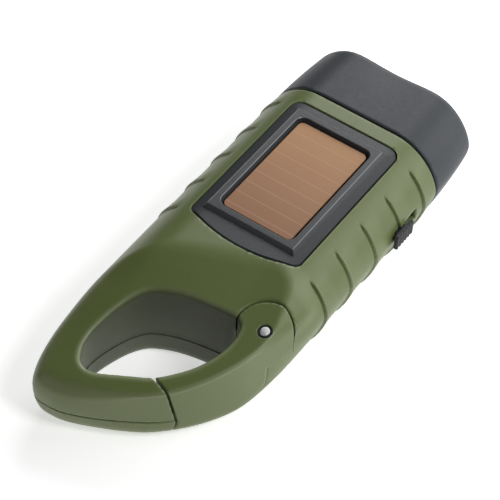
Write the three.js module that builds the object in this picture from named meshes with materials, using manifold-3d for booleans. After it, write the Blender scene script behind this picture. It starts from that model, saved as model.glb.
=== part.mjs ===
// Hand crank flashlight with a solar panel and a snap loop in its tail.
// Millimetres. +X points to the lamp head, +Y to the left side, +Z out of the solar face.
// The housing's own middle plane is y = 0 while the pieces are made; the finished
// assembly is then moved sideways so that the origin is the middle of its footprint.
import * as THREE from 'three';
import { mergeVertices } from 'three/addons/utils/BufferGeometryUtils.js';
import Module from 'manifold-3d';

const wasm = await Module();
wasm.setup();

// Housing
const BODY_WIDTH = 54;
const BODY_THICKNESS = 30;
const HEAD_LENGTH = 21;
const TAIL_LENGTH = 56;
const TAIL_TIP_HEIGHT = 16;
const TOP_FLAT_WIDTH = 24.2;
const BOTTOM_FLAT_WIDTH = 34;
const WAIST_HEIGHT = 16.5;
const SEAM_HEIGHT = 7;
const SEAM_GAP = 0.3;
const WALL = 2;
const CAVITY_CEILING = 26.9;
const CAVITY_START = 44.5;
const TAIL_ROUNDING = 5;
const TAIL_TURN = 18;
const TAIL_TURN_OFFSET = 3;
const OVERRUN = 3;

// Fits: between pieces that move on each other, and between pieces fixed together
const CLEARANCE = 0.3;
const FIT = 0.1;

// Gill ribs along both flanks
const RIB_HEIGHT = 0.5;
const RIB_LENGTH = 5;
const RIB_PITCH = 12.1;
const RIB_COUNT = 5;
const RIB_FIRST_SETBACK = 6.4;

// Carabiner loop and gate
const LOOP_LENGTH = 31.5;
const LOOP_WIDTH = 31.7;
const LOOP_SETBACK = 25.25;
const LOOP_OFFSET = 0.65;
const GATE_PIN_SETBACK = 41;
const GATE_PIN_OFFSET = 20.8;
const GATE_DISC_RADIUS = 8.2;
const GATE_PIN_RADIUS = 1.25;
const GATE_PIN_RECESS = 0.4;
const GATE_LUG_HEIGHT = 15;
const GATE_LUG_RADIUS = 4.3;
const GATE_ARM_START = 106;
const GATE_ARM_END = 236;
const GATE_ARM_OPEN_START = 95;
const GATE_ARM_OPEN_END = 262;
const GATE_SWING = 25;
const GATE_ANGLE_GAP = 3;
const GATE_TIP_X = 16.1;
const GATE_TIP_Y = 4.6;
const GATE_TIP_SKEW = 1.8;
const GATE_TIP_DEPTH = 5.7;
const GATE_TIP_NOSE = 2.4;
const SPRING_RADIUS = 1.95;
const SPRING_WIRE = 0.45;
const SPRING_TURNS = 4;
const SPRING_PITCH = 0.8;
const SPRING_POCKET_DEPTH = 4.4;

// Solar panel and its frame
const PANEL_HEAD_MARGIN = 5.25;
const PANEL_TAIL_MARGIN = 4.25;
const CELL_LENGTH = 37.8;
const CELL_WIDTH = 21.6;
const CELL_THICKNESS = 1.1;
const CELL_TOP = 30.2;
const BEZEL_LENGTH = 50.5;
const BEZEL_WIDTH = 33.6;
const BEZEL_BOW = 2.8;
const BEZEL_CORNER = 2.5;
const BEZEL_SEAT = 28.3;
const BEZEL_RIDGE_LENGTH = 42.9;
const BEZEL_RIDGE_WIDTH = 26.8;
const BEZEL_RIDGE_TOP = 31.3;
const BEZEL_RIDGE_DRAFT = 1.04;
const BEZEL_LIP = 1.3;
const PAD_INSET = 2;

// Head
const HOOD_WALL = 2;
const HOOD_LIP = 1.3;
const HOOD_LIP_DEPTH = 1.1;
const HOOD_TAPER = 1.6;
const HOOD_EDGE = 1;
const HOOD_SADDLE = 0.8;
const LOBE_OFFSET = 12;
const NECK_LENGTH = 3.5;
const NECK_WALL = 1.5;
const GASKET_THICKNESS = 0.5;
const GASKET_SINK = 0.6;
const LENS_THICKNESS = 1.5;
const REFLECTOR_LENGTH = 13.4;
const CUP_RADIUS = 10.8;
const LED_RADIUS = 2.5;
const LED_LENGTH = 7;
const LED_FLANGE = 0.4;
const BOARD_THICKNESS = 1.2;
const LED_BOARD_SETBACK = 1.1;

// Crank on the back
const CRANK_SETBACK = 60.5;
const CRANK_RADIUS = 19;
const CRANK_THICKNESS = 9;
const CRANK_SINK = 0.4;
const CRANK_RIM_CHAMFER = 1.6;
const CUP_WALL_SIDE = 2.4;
const CUP_FLOOR = 1.8;
const GROOVE_WIDTH = 8.6;
const GROOVE_DEPTH = 7.2;
const GROOVE_END_WALL = 1.4;
const NOTCH_RADIUS = 7;
const NOTCH_DEPTH = 3.8;
const HANDLE_HEIGHT = 4;
const HANDLE_BARREL_RADIUS = 3.3;
const HANDLE_PIN_RADIUS = 1;
const HANDLE_PIN_GRIP = 2.3;
const SPINDLE_RADIUS = 1.5;
const GRIP_RADIUS = 3.1;
const GRIP_CAP_LENGTH = 1;
const GRIP_CAP_RADIUS = 2.7;
const SHAFT_RADIUS = 2;
const BUSH_RADIUS = 3.6;
const CLIP_RADIUS = 3.2;
const CLIP_THICKNESS = 0.6;

// Gear train and generator
const MODULE = 0.8;
const CRANK_TEETH = 40;
const FIRST_PINION_TEETH = 10;
const FIRST_WHEEL_TEETH = 30;
const SECOND_PINION_TEETH = 10;
const SECOND_WHEEL_TEETH = 28;
const ROTOR_TEETH = 9;
const FIRST_GEAR_ANGLE = 35;
const SECOND_GEAR_ANGLE = -78.8;
const ROTOR_ANGLE = 196.5;
const CRANK_GEAR_THICKNESS = 1.8;
const PINION_OVERLAP = 0.8;
const WHEEL_THICKNESS = 1.4;
const AXLE_RADIUS = 1;
const AXLE_SEAT_DEPTH = 1.3;
const GEAR_PLATE_THICKNESS = 1.2;
const GENERATOR_RADIUS = 9;
const GENERATOR_HEIGHT = 5.6;
const GENERATOR_WALL = 0.6;
const COIL_OUTER_RADIUS = 8.1;
const COIL_INNER_RADIUS = 5.6;
const MAGNET_RADIUS = 4.9;
const ROTOR_SHAFT_RADIUS = 0.8;

// Electrics
const BATTERY_RADIUS = 10;
const BATTERY_THICKNESS = 3.2;
const BATTERY_MARGIN = 4;
const BATTERY_OFFSET = 6;
const HOLDER_WALL = 1.2;
const HOLDER_FLOOR = 0.8;
const CONTACT_THICKNESS = 0.4;
const CONTACT_WIDTH = 5;
const MAIN_BOARD_GAP = 0.6;
const MAIN_BOARD_LENGTH = 26;
const MAIN_BOARD_WIDTH = 39;
const CHIP_HEIGHT = 1;
const LEAD_RADIUS = 0.6;

// Slide switch on the right flank
const SWITCH_SETBACK = 39.9;
const SWITCH_HEIGHT = 17;
const SWITCH_TRAVEL = 6;
const KNOB_LENGTH = 7.2;
const KNOB_HEIGHT = 4.6;
const KNOB_PROUD = 1.9;
const STEM_LENGTH = 4;
const STEM_HEIGHT = 3;
const SLIDER_THICKNESS = 0.7;
const SLIDER_EDGE = 1.6;
const SLIDER_STANDOFF = 0.5;
const SWITCH_BODY_LENGTH = 15;
const SWITCH_BODY_HEIGHT = 6.4;
const SWITCH_BODY_DEPTH = 3.8;

// Screws and posts
const SCREW_RADIUS = 1.1;
const SCREW_HEAD_RADIUS = 2.2;
const SCREW_HEAD_HEIGHT = 1.6;
const SCREW_LENGTH = 12;
const SCREW_SINK = 0.8;
const BOSS_RADIUS = 3;
const POST_RADIUS = 1.9;
const PLATE_SCREW_RADIUS = 0.7;
const PLATE_SCREW_HEAD_RADIUS = 1.5;
const PLATE_SCREW_HEAD_HEIGHT = 0.9;
const PLATE_SCREW_LENGTH = 5;

// Places worked out from the sizes above
const HALF_WIDTH = BODY_WIDTH / 2;
const MIDDLE_LENGTH = PANEL_TAIL_MARGIN + BEZEL_LENGTH + PANEL_HEAD_MARGIN;
const OVERALL_LENGTH = TAIL_LENGTH + MIDDLE_LENGTH + HEAD_LENGTH;
const TAIL_X = -OVERALL_LENGTH / 2;
const FRONT_X = OVERALL_LENGTH / 2;
const JOINT_X = FRONT_X - HEAD_LENGTH;
const SLOPE_X = TAIL_X + TAIL_LENGTH;
const CAVITY_X = TAIL_X + CAVITY_START;
const LOOP_X = TAIL_X + LOOP_SETBACK;
const GATE_PIN_X = TAIL_X + GATE_PIN_SETBACK;
const GATE_PIN_Y = -GATE_PIN_OFFSET;
const PANEL_X = JOINT_X - PANEL_HEAD_MARGIN - BEZEL_LENGTH / 2;
const CRANK_X = FRONT_X - CRANK_SETBACK;
const CRANK_TOP = CRANK_SINK + CRANK_THICKNESS;
const CUP_RADIUS_INNER = CRANK_RADIUS + CLEARANCE + FIT;
const CUP_CEILING = CRANK_TOP + CLEARANCE + FIT;
const CUP_TOP = CUP_CEILING + CUP_FLOOR;
const GROOVE_REACH = CRANK_RADIUS - GROOVE_END_WALL;
const HINGE_X = CRANK_X + GROOVE_REACH - HANDLE_BARREL_RADIUS - CLEARANCE;
const SPINDLE_END_X = CRANK_X - GROOVE_REACH + CLEARANCE + GRIP_CAP_LENGTH;
const GRIP_START_X = HINGE_X - HANDLE_BARREL_RADIUS - CLEARANCE;
const CRANK_GEAR_Z = CUP_TOP + CLEARANCE + FIT;
const FIRST_WHEEL_Z = CRANK_GEAR_Z + CRANK_GEAR_THICKNESS + PINION_OVERLAP;
const SECOND_WHEEL_Z = FIRST_WHEEL_Z + WHEEL_THICKNESS + PINION_OVERLAP;
const GEAR_PLATE_Z = SECOND_WHEEL_Z + WHEEL_THICKNESS + PINION_OVERLAP;
const GENERATOR_Z = GEAR_PLATE_Z + GEAR_PLATE_THICKNESS + CLEARANCE;
const CRANK_GEAR_TOP = CRANK_GEAR_Z + CRANK_GEAR_THICKNESS;
const MAIN_BOARD_HEIGHT = CRANK_GEAR_TOP + CLIP_THICKNESS + 2 * FIT + MAIN_BOARD_GAP;
const BATTERY_X = CAVITY_X + BATTERY_RADIUS + BATTERY_MARGIN;
const MAIN_BOARD_X = BATTERY_X + WALL;
const SWITCH_X = FRONT_X - SWITCH_SETBACK;
const NECK_INSET = HOOD_WALL + CLEARANCE;
const NECK_FRONT_X = JOINT_X + NECK_LENGTH;
const LENS_FRONT_X = FRONT_X - HOOD_LIP_DEPTH - CLEARANCE;
const REFLECTOR_FRONT_X = LENS_FRONT_X - LENS_THICKNESS - CLEARANCE;
const LED_BOARD_X = JOINT_X + LED_BOARD_SETBACK;
const MID_HEIGHT = BODY_THICKNESS / 2;

// Shares of the sizes that they follow
const UPPER_CONTROL_SHARES = [0.66, 0.28];
const LOWER_CONTROL_SHARES = [0.85, 0.63];
// Tail outline seen from above: share of the tail length, share of the half width
const TAIL_OUTLINE_SHARES = [
  [0.4, 1.07], [0.53, 1.03], [0.635, 1.005], [0.728, 0.985], [0.823, 0.95], [0.918, 0.89],
  [0.97, 0.828], [0.994, 0.75], [1, 0.65], [0.992, 0.525], [0.968, 0.37], [0.912, 0.13],
  [0.835, -0.13], [0.762, -0.335], [0.685, -0.49], [0.58, -0.645], [0.445, -0.785],
  [0.28, -0.89], [0.13, -0.985], [0, -1.07],
];
const TAIL_MIDDLE_SHARE = 0.6;
// Wall of the tail, from the back up: share of the body thickness, then how far the wall
// stands in at the tip and on the left side, as shares of the tail rounding
const TAIL_WALL_SHARES = [
  [0, 0.92, 1.3], [0.033, 0.38, 0.92], [0.07, 0.18, 0.7], [0.12, 0.05, 0.46], [0.18, 0, 0.26],
  [0.3, 0, 0.06], [0.4, 0, 0], [0.56, 0, 0.1], [0.67, 0, 0.24], [0.8, 0, 0.52], [1.2, 0, 1.6],
];
// Loop hole outline: shares of half the loop's length and half its width
const LOOP_OUTLINE_SHARES = [
  [-0.968, 0.514], [-1, 0.703], [-0.937, 0.861], [-0.759, 0.968], [-0.517, 1],
  [-0.27, 0.975], [0.041, 0.899], [0.346, 0.785], [0.587, 0.621], [0.714, 0.426],
  [0.816, 0.186], [0.879, -0.041], [0.937, -0.356], [0.975, -0.64], [0.985, -0.82],
  [0.892, -0.95], [0.714, -1], [0.492, -0.994], [0.225, -0.918], [-0.079, -0.76],
  [-0.34, -0.546], [-0.562, -0.306], [-0.759, 0.073], [-0.905, 0.375],
];
// Gate tip, from its top down: share of the nose length, share of the body thickness
const NOSE_SHARES = [[0, 1.2], [0, 0.64], [0.42, 0.46], [1, 0.233], [0.8, 0.1], [0.4, -0.2]];
// Region that the gate's arm lies in, from the pin: reach of its two sides as a share of the
// disc radius, then how far it spreads under the loop and past the tail
const ARM_REACH_SHARE = 1.45;
const ARM_LOOP_SHARE = 0.2;
const ARM_TAIL_SHARES = [0.1, 0.4];
const ARM_FLANK_SHARE = 0.2;
const TIP_TOP_SHARE = 1.2;
// Gear plate outline: shares of the crank radius, from the crank's centre
const GEAR_PLATE_SHARES = [
  [-0.32, -1.12], [0.3, -1.12], [0.95, -0.88], [1.83, -0.02], [1.83, 0.3],
  [0.2, 1.14], [-0.2, 1.14], [-0.28, 0.2],
];
// Posts under the gear plate: shares of the crank radius from the crank's centre; posts
// under the main board: shares of the board's length and width from its middle
const PLATE_POST_SHARES = [[0, 1.03], [0.02, -1.03], [1.71, 0.14]];
const BOARD_POST_SHARES = [[0.25, 0.448], [0.25, -0.448], [-0.408, -0.205]];
const CHIP_SHARES = [[-0.3, -0.32, 0.16, 0.12], [0.12, -0.36, 0.1, 0.07], [0.25, -0.2, 0.08, 0.05]];
const REFLECTOR_CURVE_SHARES = [[0.26, 0], [0.5, 0.12], [0.72, 0.32], [0.88, 0.6], [1, 1]];
// Case screws: front ones from the joint and the flank in boss radii, then the other two
const FRONT_SCREW_SHARES = [2.2, 3.7];
const MIDDLE_SCREW_SHARES = [1.2, 0.66];
const TAIL_SCREW_SHARES = [3.7, 0.755];
const DRIVE_SHARE = 0.6;
const HOLDER_HEIGHT_SHARE = 0.8;
const NOTCH_PLACE_SHARE = 0.9;
const RIM_SHARE = 1.5;
// Gear tooth: root depth, tip height, half width at the root and at the tip, in modules
const TOOTH_SHARES = { root: 1.15, tip: 0.85, rootHalf: 0.62, tipHalf: 0.24 };
const CORNER_TURN_SHARE = 0.04;
const LED_DOME_SHARES = [[1, 0.62], [0.87, 0.82], [0.5, 0.96], [0, 1]];

const SECTION_STEPS = 6;
const HEAD_STEPS = 4;
const OUTLINE_STEPS = 44;
const ROUND_SEGMENTS = 26;
const FINE_SEGMENTS = 12;

// Finishes read off the photograph
const PAINTS = {
  green: { color: 0x66714a, roughness: 0.55, metalness: 0 },
  charcoal: { color: 0x4b4f54, roughness: 0.5, metalness: 0 },
  rubber: { color: 0x1b1c1d, roughness: 0.8, metalness: 0 },
  cell: { color: 0xa07a5c, roughness: 0.35, metalness: 0 },
  clear: { color: 0xe6edf0, roughness: 0.05, metalness: 0 },
  mirror: { color: 0xd9dde0, roughness: 0.12, metalness: 1 },
  steel: { color: 0xb9bdc1, roughness: 0.3, metalness: 1 },
  brass: { color: 0xc2a15a, roughness: 0.35, metalness: 1 },
  copper: { color: 0xb36b3c, roughness: 0.4, metalness: 1 },
  nylon: { color: 0xe3e0d4, roughness: 0.5, metalness: 0 },
  board: { color: 0x2f6b45, roughness: 0.5, metalness: 0 },
  foam: { color: 0xd7d6cf, roughness: 0.9, metalness: 0 },
};

const flashlight = new THREE.Group();

// Adds one named mesh
function place(name, body, paint) {
  const mesh = new THREE.Mesh(toGeometry(body), new THREE.MeshStandardMaterial(PAINTS[paint]));
  mesh.name = name;
  flashlight.add(mesh);
  return mesh;
}

// Turns a closed three.js geometry into a solid that can be joined and cut
function toSolid(geometry) {
  geometry.deleteAttribute('normal');
  geometry.deleteAttribute('uv');
  const merged = mergeVertices(geometry);
  return new wasm.Manifold(new wasm.Mesh({
    numProp: 3,
    vertProperties: new Float32Array(merged.attributes.position.array),
    triVerts: new Uint32Array(merged.index.array),
  }));
}

// Turns a solid back into a three.js geometry
function toGeometry(body) {
  const mesh = body.getMesh();
  const geometry = new THREE.BufferGeometry();
  geometry.setAttribute('position', new THREE.BufferAttribute(mesh.vertProperties, mesh.numProp));
  geometry.setIndex(new THREE.BufferAttribute(mesh.triVerts, 1));
  geometry.computeVertexNormals();
  return geometry;
}

// Box between two corners
function block(x0, x1, y0, y1, z0, z1) {
  const geometry = new THREE.BoxGeometry(x1 - x0, y1 - y0, z1 - z0);
  geometry.translate((x0 + x1) / 2, (y0 + y1) / 2, (z0 + z1) / 2);
  return toSolid(geometry);
}

// Upright cylinder from z0 to z1
function post(radius, x, y, z0, z1, segments = ROUND_SEGMENTS) {
  const geometry = new THREE.CylinderGeometry(radius, radius, z1 - z0, segments);
  geometry.rotateX(Math.PI / 2);
  geometry.translate(x, y, (z0 + z1) / 2);
  return toSolid(geometry);
}

// Cylinder along X from x0 to x1
function rod(radius, x0, x1, y, z, segments = FINE_SEGMENTS) {
  const geometry = new THREE.CylinderGeometry(radius, radius, x1 - x0, segments);
  geometry.rotateZ(-Math.PI / 2);
  geometry.translate((x0 + x1) / 2, y, z);
  return toSolid(geometry);
}

// Cylinder along Y from y0 to y1
function barrel(radius, x, y0, y1, z, segments = FINE_SEGMENTS) {
  const geometry = new THREE.CylinderGeometry(radius, radius, y1 - y0, segments);
  geometry.translate(x, (y0 + y1) / 2, z);
  return toSolid(geometry);
}

// Flat three.js shape of an outline
function shapeOf(points) {
  return new THREE.Shape(points.map(([a, b]) => new THREE.Vector2(a, b)));
}

// Outline in the XY plane pushed up from z0 to z1
function prismZ(points, z0, z1) {
  const geometry = new THREE.ExtrudeGeometry(shapeOf(points), { depth: z1 - z0, bevelEnabled: false });
  geometry.translate(0, 0, z0);
  return toSolid(geometry);
}

// Outline given as [y, z] pushed along X from x0 to x1
function prismX(points, x0, x1) {
  const geometry = new THREE.ExtrudeGeometry(shapeOf(points), { depth: x1 - x0, bevelEnabled: false });
  geometry.applyMatrix4(new THREE.Matrix4().makeBasis(
    new THREE.Vector3(0, 1, 0),
    new THREE.Vector3(0, 0, 1),
    new THREE.Vector3(1, 0, 0),
  ));
  geometry.translate(x0, 0, 0);
  return toSolid(geometry);
}

// Outline given as [x, z] pushed along Y from y0 to y1
function prismY(points, y0, y1) {
  const geometry = new THREE.ExtrudeGeometry(shapeOf(points), { depth: y1 - y0, bevelEnabled: false });
  geometry.applyMatrix4(new THREE.Matrix4().makeBasis(
    new THREE.Vector3(1, 0, 0),
    new THREE.Vector3(0, 0, 1),
    new THREE.Vector3(0, -1, 0),
  ));
  geometry.translate(0, y1, 0);
  return toSolid(geometry);
}

// Profile given as [radius, height], turned about the Z axis
function turned(points, segments = ROUND_SEGMENTS) {
  const profile = points.map(([radius, height]) => new THREE.Vector2(radius, height));
  const geometry = new THREE.LatheGeometry(profile, segments);
  geometry.rotateX(Math.PI / 2);
  return toSolid(geometry);
}

// The same profile turned about the X axis, its height growing toward the head
function turnedAlongX(points, segments) {
  const profile = points.map(([radius, height]) => new THREE.Vector2(radius, height));
  const geometry = new THREE.LatheGeometry(profile, segments);
  geometry.rotateZ(-Math.PI / 2);
  return toSolid(geometry);
}

// Half of the housing's cross section from the top middle down to the bottom middle
function halfSection(inset) {
  const topFlat = TOP_FLAT_WIDTH / 2;
  const bottomFlat = BOTTOM_FLAT_WIDTH / 2;
  const upper = new THREE.CubicBezierCurve(
    new THREE.Vector2(topFlat, BODY_THICKNESS),
    new THREE.Vector2(topFlat + UPPER_CONTROL_SHARES[0] * (HALF_WIDTH - topFlat), BODY_THICKNESS),
    new THREE.Vector2(HALF_WIDTH, WAIST_HEIGHT + UPPER_CONTROL_SHARES[1] * (BODY_THICKNESS - WAIST_HEIGHT)),
    new THREE.Vector2(HALF_WIDTH, WAIST_HEIGHT),
  );
  const lower = new THREE.CubicBezierCurve(
    new THREE.Vector2(HALF_WIDTH, WAIST_HEIGHT),
    new THREE.Vector2(HALF_WIDTH, WAIST_HEIGHT * LOWER_CONTROL_SHARES[0]),
    new THREE.Vector2(bottomFlat + LOWER_CONTROL_SHARES[1] * (HALF_WIDTH - bottomFlat), 0),
    new THREE.Vector2(bottomFlat, 0),
  );
  const points = [...upper.getPoints(SECTION_STEPS), ...lower.getPoints(SECTION_STEPS).slice(1)];
  const sideways = (HALF_WIDTH - inset) / HALF_WIDTH;
  const upright = (BODY_THICKNESS - 2 * inset) / BODY_THICKNESS;
  return points.map((point) => [point.x * sideways, inset + point.y * upright]);
}

// Whole cross section as a closed ring of [y, z]
function section(inset) {
  const right = halfSection(inset);
  const left = right.map(([y, z]) => [-y, z]).reverse();
  return [...right, ...left].reverse();
}

// Smooth curve through points, sampled evenly
function throughPoints(points, steps, closed) {
  const curve = new THREE.CatmullRomCurve3(
    points.map(([x, y]) => new THREE.Vector3(x, y, 0)),
    closed,
    'centripetal',
  );
  const samples = curve.getSpacedPoints(steps).map((point) => [point.x, point.y]);
  return closed ? samples.slice(0, -1) : samples;
}

// Plan outline of the body: straight flanks, then the round tail
function planOutline() {
  const tail = TAIL_OUTLINE_SHARES.map(([u, v]) => [SLOPE_X - u * TAIL_LENGTH, v * HALF_WIDTH]);
  const beyond = HALF_WIDTH * (1 + RIB_HEIGHT / RIB_LENGTH);
  return [
    [FRONT_X + OVERRUN, beyond],
    ...throughPoints(tail, OUTLINE_STEPS, false),
    [FRONT_X + OVERRUN, -beyond],
  ];
}

// Upright wall around the plan outline; at each height it stands in from the outline by one
// depth at the tip and the right side, and by another on the left side
function bodyWall() {
  const middleX = SLOPE_X - TAIL_MIDDLE_SHARE * TAIL_LENGTH;
  const outline = planOutline();
  const rings = TAIL_WALL_SHARES.map(([height, tip, left]) => ring(outline.map(([x, y]) => {
    const turn = THREE.MathUtils.smoothstep((y - TAIL_TURN_OFFSET) / TAIL_TURN, -0.5, 0.5);
    const depth = TAIL_ROUNDING * THREE.MathUtils.lerp(tip, left, turn);
    const keep = 1 - depth / Math.hypot(x - middleX, y);
    return [middleX + keep * (x - middleX), keep * y];
  }), height * BODY_THICKNESS));
  const geometry = loft(rings);
  geometry.applyMatrix4(new THREE.Matrix4().makeBasis(
    new THREE.Vector3(0, 0, 1),
    new THREE.Vector3(1, 0, 0),
    new THREE.Vector3(0, 1, 0),
  ));
  return toSolid(geometry);
}

// Side outline: flat top that slopes down to the tail
function sideOutline(lower) {
  return [
    [TAIL_X - OVERRUN, -OVERRUN],
    [FRONT_X + OVERRUN, -OVERRUN],
    [FRONT_X + OVERRUN, BODY_THICKNESS + OVERRUN],
    [SLOPE_X - lower, BODY_THICKNESS + OVERRUN],
    [SLOPE_X - lower, BODY_THICKNESS - lower],
    [TAIL_X - OVERRUN, slopeHeight(TAIL_X - OVERRUN) - lower],
  ];
}

// Height of the sloped top at a place along the tail
function slopeHeight(x) {
  const drop = (BODY_THICKNESS - TAIL_TIP_HEIGHT) / TAIL_LENGTH;
  return BODY_THICKNESS - drop * (SLOPE_X - x);
}

// The outer form of the body, without loop, gate gaps or cavity
function outerForm() {
  const flanks = prismX(section(0), TAIL_X - OVERRUN, JOINT_X);
  const side = prismY(sideOutline(0), -BODY_WIDTH, BODY_WIDTH);
  return flanks.intersect(bodyWall()).intersect(side).add(ribs());
}

// One gill rib: a band of the section that stands proud and fades toward the head
function gillRib(x) {
  const proud = section(-RIB_HEIGHT);
  const flush = section(0);
  const geometry = loft([
    ring(flush, x - CLEARANCE),
    ring(proud, x),
    ring(flush, x + RIB_LENGTH),
  ]);
  return toSolid(geometry);
}

// Ribs stand only on the flanks, clear of the flat top and the flat bottom
function ribs() {
  let all = null;
  const last = JOINT_X - RIB_FIRST_SETBACK - RIB_PITCH * (RIB_COUNT - 1);
  for (let i = 0; i < RIB_COUNT; i += 1) {
    const rib = gillRib(last + i * RIB_PITCH);
    all = all ? all.add(rib) : rib;
  }
  const flat = BEZEL_WIDTH / 2 + RIB_LENGTH / 2;
  const keepLeft = block(TAIL_X, JOINT_X, flat, BODY_WIDTH, RIB_HEIGHT, BODY_THICKNESS);
  const keepRight = block(TAIL_X, JOINT_X, -BODY_WIDTH, -flat, RIB_HEIGHT, BODY_THICKNESS);
  return all.intersect(keepLeft.add(keepRight));
}

// Outline of [y, z] as points standing at x
function ring(points, x) {
  return points.map(([y, z]) => new THREE.Vector3(x, y, z));
}

// Skin over rings of equal point counts; it has flat ends, or joins its last ring to its first
function loft(rings, endless = false) {
  const count = rings[0].length;
  const positions = rings.flat().flatMap((point) => [point.x, point.y, point.z]);
  const faces = [];
  const levels = endless ? rings.length : rings.length - 1;
  for (let level = 0; level < levels; level += 1) {
    const next = ((level + 1) % rings.length) * count;
    for (let i = 0; i < count; i += 1) {
      const j = (i + 1) % count;
      faces.push(level * count + i, next + i, level * count + j);
      faces.push(level * count + j, next + i, next + j);
    }
  }
  if (!endless) {
    const flatEnd = rings[0].map((point) => new THREE.Vector2(point.y, point.z));
    const lastRing = (rings.length - 1) * count;
    for (const [a, b, c] of THREE.ShapeUtils.triangulateShape(flatEnd, [])) {
      faces.push(a, b, c);
      faces.push(lastRing + a, lastRing + c, lastRing + b);
    }
  }
  const geometry = new THREE.BufferGeometry();
  geometry.setAttribute('position', new THREE.Float32BufferAttribute(positions, 3));
  geometry.setIndex(faces);
  return flipIfInsideOut(geometry);
}

// The same triangles facing the other way
function flipped(faces) {
  const turnedFaces = [];
  for (let i = 0; i < faces.length; i += 3) {
    turnedFaces.push(faces[i], faces[i + 2], faces[i + 1]);
  }
  return turnedFaces;
}

// The loop hole, right through
function loopHole() {
  const outline = LOOP_OUTLINE_SHARES.map(([u, v]) => [
    LOOP_X + u * LOOP_LENGTH / 2,
    LOOP_OFFSET + v * LOOP_WIDTH / 2,
  ]);
  return prismZ(throughPoints(outline, OUTLINE_STEPS, true), -OVERRUN, BODY_THICKNESS + OVERRUN);
}

// Point at an angle and a radius from the gate's pin
function fromPin(degrees, radius) {
  const angle = THREE.MathUtils.degToRad(degrees);
  return [GATE_PIN_X + radius * Math.cos(angle), GATE_PIN_Y + radius * Math.sin(angle)];
}

// Plan region of the gate arm, seen from the pin between two angles
function armRegion(startAngle, endAngle, z0, z1) {
  const outline = [
    [GATE_PIN_X, GATE_PIN_Y],
    fromPin(startAngle, GATE_DISC_RADIUS * ARM_REACH_SHARE),
    [LOOP_X - LOOP_LENGTH * ARM_LOOP_SHARE, LOOP_OFFSET],
    [TAIL_X - TAIL_LENGTH * ARM_TAIL_SHARES[0], -HALF_WIDTH * ARM_TAIL_SHARES[1]],
    [TAIL_X, -BODY_WIDTH],
    [GATE_PIN_X - GATE_DISC_RADIUS * ARM_FLANK_SHARE, -BODY_WIDTH],
    fromPin(endAngle, GATE_DISC_RADIUS * ARM_REACH_SHARE),
  ];
  return prismZ(outline, z0, z1);
}

// Space on the gate's side of the tip gap; the shift opens or narrows the gap
function tipSide(shift) {
  const profile = NOSE_SHARES.map(([s, h]) => [s * GATE_TIP_NOSE + shift, h * BODY_THICKNESS]);
  const outline = [
    ...profile,
    [TAIL_LENGTH, -OVERRUN * 2],
    [TAIL_LENGTH, BODY_THICKNESS * TIP_TOP_SHARE],
  ];
  const depth = BODY_WIDTH;
  const geometry = new THREE.ExtrudeGeometry(shapeOf(outline), { depth: 2 * depth, bevelEnabled: false });
  const across = new THREE.Vector3(-GATE_TIP_SKEW, -GATE_TIP_DEPTH, 0).normalize();
  const up = new THREE.Vector3(0, 0, 1);
  const along = new THREE.Vector3().crossVectors(up, across);
  geometry.translate(0, 0, -depth);
  geometry.applyMatrix4(new THREE.Matrix4().makeBasis(along, up, across));
  geometry.translate(TAIL_X + GATE_TIP_X, -GATE_TIP_Y, 0);
  return toSolid(flipIfInsideOut(geometry));
}

// A mirrored basis turns a geometry inside out; this turns it back
function flipIfInsideOut(geometry) {
  const merged = mergeVertices(geometry);
  const position = merged.attributes.position;
  const faces = Array.from(merged.index.array);
  let volume = 0;
  for (let i = 0; i < faces.length; i += 3) {
    const a = new THREE.Vector3().fromBufferAttribute(position, faces[i]);
    const b = new THREE.Vector3().fromBufferAttribute(position, faces[i + 1]);
    const c = new THREE.Vector3().fromBufferAttribute(position, faces[i + 2]);
    volume += a.dot(b.cross(c));
  }
  if (volume < 0) {
    merged.setIndex(flipped(faces));
  }
  return merged;
}

// Everything that the gate may fill, or that the body gives up for it
function gateSpace(gap, swing) {
  const top = BODY_THICKNESS + OVERRUN;
  const lug = GATE_LUG_HEIGHT - (gap > 0 ? CLEARANCE : 0);
  const angleGap = gap > 0 ? GATE_ANGLE_GAP : 0;
  const disc = post(GATE_DISC_RADIUS + gap, GATE_PIN_X, GATE_PIN_Y, lug, top, FINE_SEGMENTS * 3);
  const upper = disc.add(armRegion(GATE_ARM_OPEN_START, GATE_ARM_OPEN_END, lug, top));
  const armStart = gap > 0 ? GATE_ARM_OPEN_START : GATE_ARM_START;
  const wholeArm = armRegion(armStart, GATE_ARM_END + angleGap, -OVERRUN, lug);
  const sweep = armRegion(GATE_ARM_START - swing - angleGap, GATE_ARM_END + angleGap, -OVERRUN, lug)
    .intersect(post(GATE_DISC_RADIUS + gap, GATE_PIN_X, GATE_PIN_Y, -OVERRUN, top));
  const hub = post(GATE_LUG_RADIUS + (gap > 0 ? 0 : CLEARANCE), GATE_PIN_X, GATE_PIN_Y, -OVERRUN, lug);
  const lower = wholeArm.add(sweep).subtract(hub);
  return upper.add(lower).intersect(tipSide(gap > 0 ? -CLEARANCE : CLEARANCE));
}

// The gate: its disc round the pin and its arm to the tail's tip
function makeGate(outer, hole) {
  const space = gateSpace(0, 0);
  const pinHole = post(GATE_PIN_RADIUS + CLEARANCE, GATE_PIN_X, GATE_PIN_Y, 0, BODY_THICKNESS);
  const pocket = post(
    SPRING_RADIUS + SPRING_WIRE + CLEARANCE,
    GATE_PIN_X,
    GATE_PIN_Y,
    0,
    GATE_LUG_HEIGHT + SPRING_POCKET_DEPTH,
  );
  place('gate', outer.intersect(space).subtract(hole).subtract(pinHole).subtract(pocket), 'green');
}

// Steel pin that the gate swings on
function makeGatePin() {
  const top = slopeHeight(GATE_PIN_X) - GATE_PIN_RECESS;
  const pin = post(GATE_PIN_RADIUS, GATE_PIN_X, GATE_PIN_Y, WALL + CLEARANCE, top, FINE_SEGMENTS);
  place('gate_pin', pin, 'steel');
}

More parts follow.
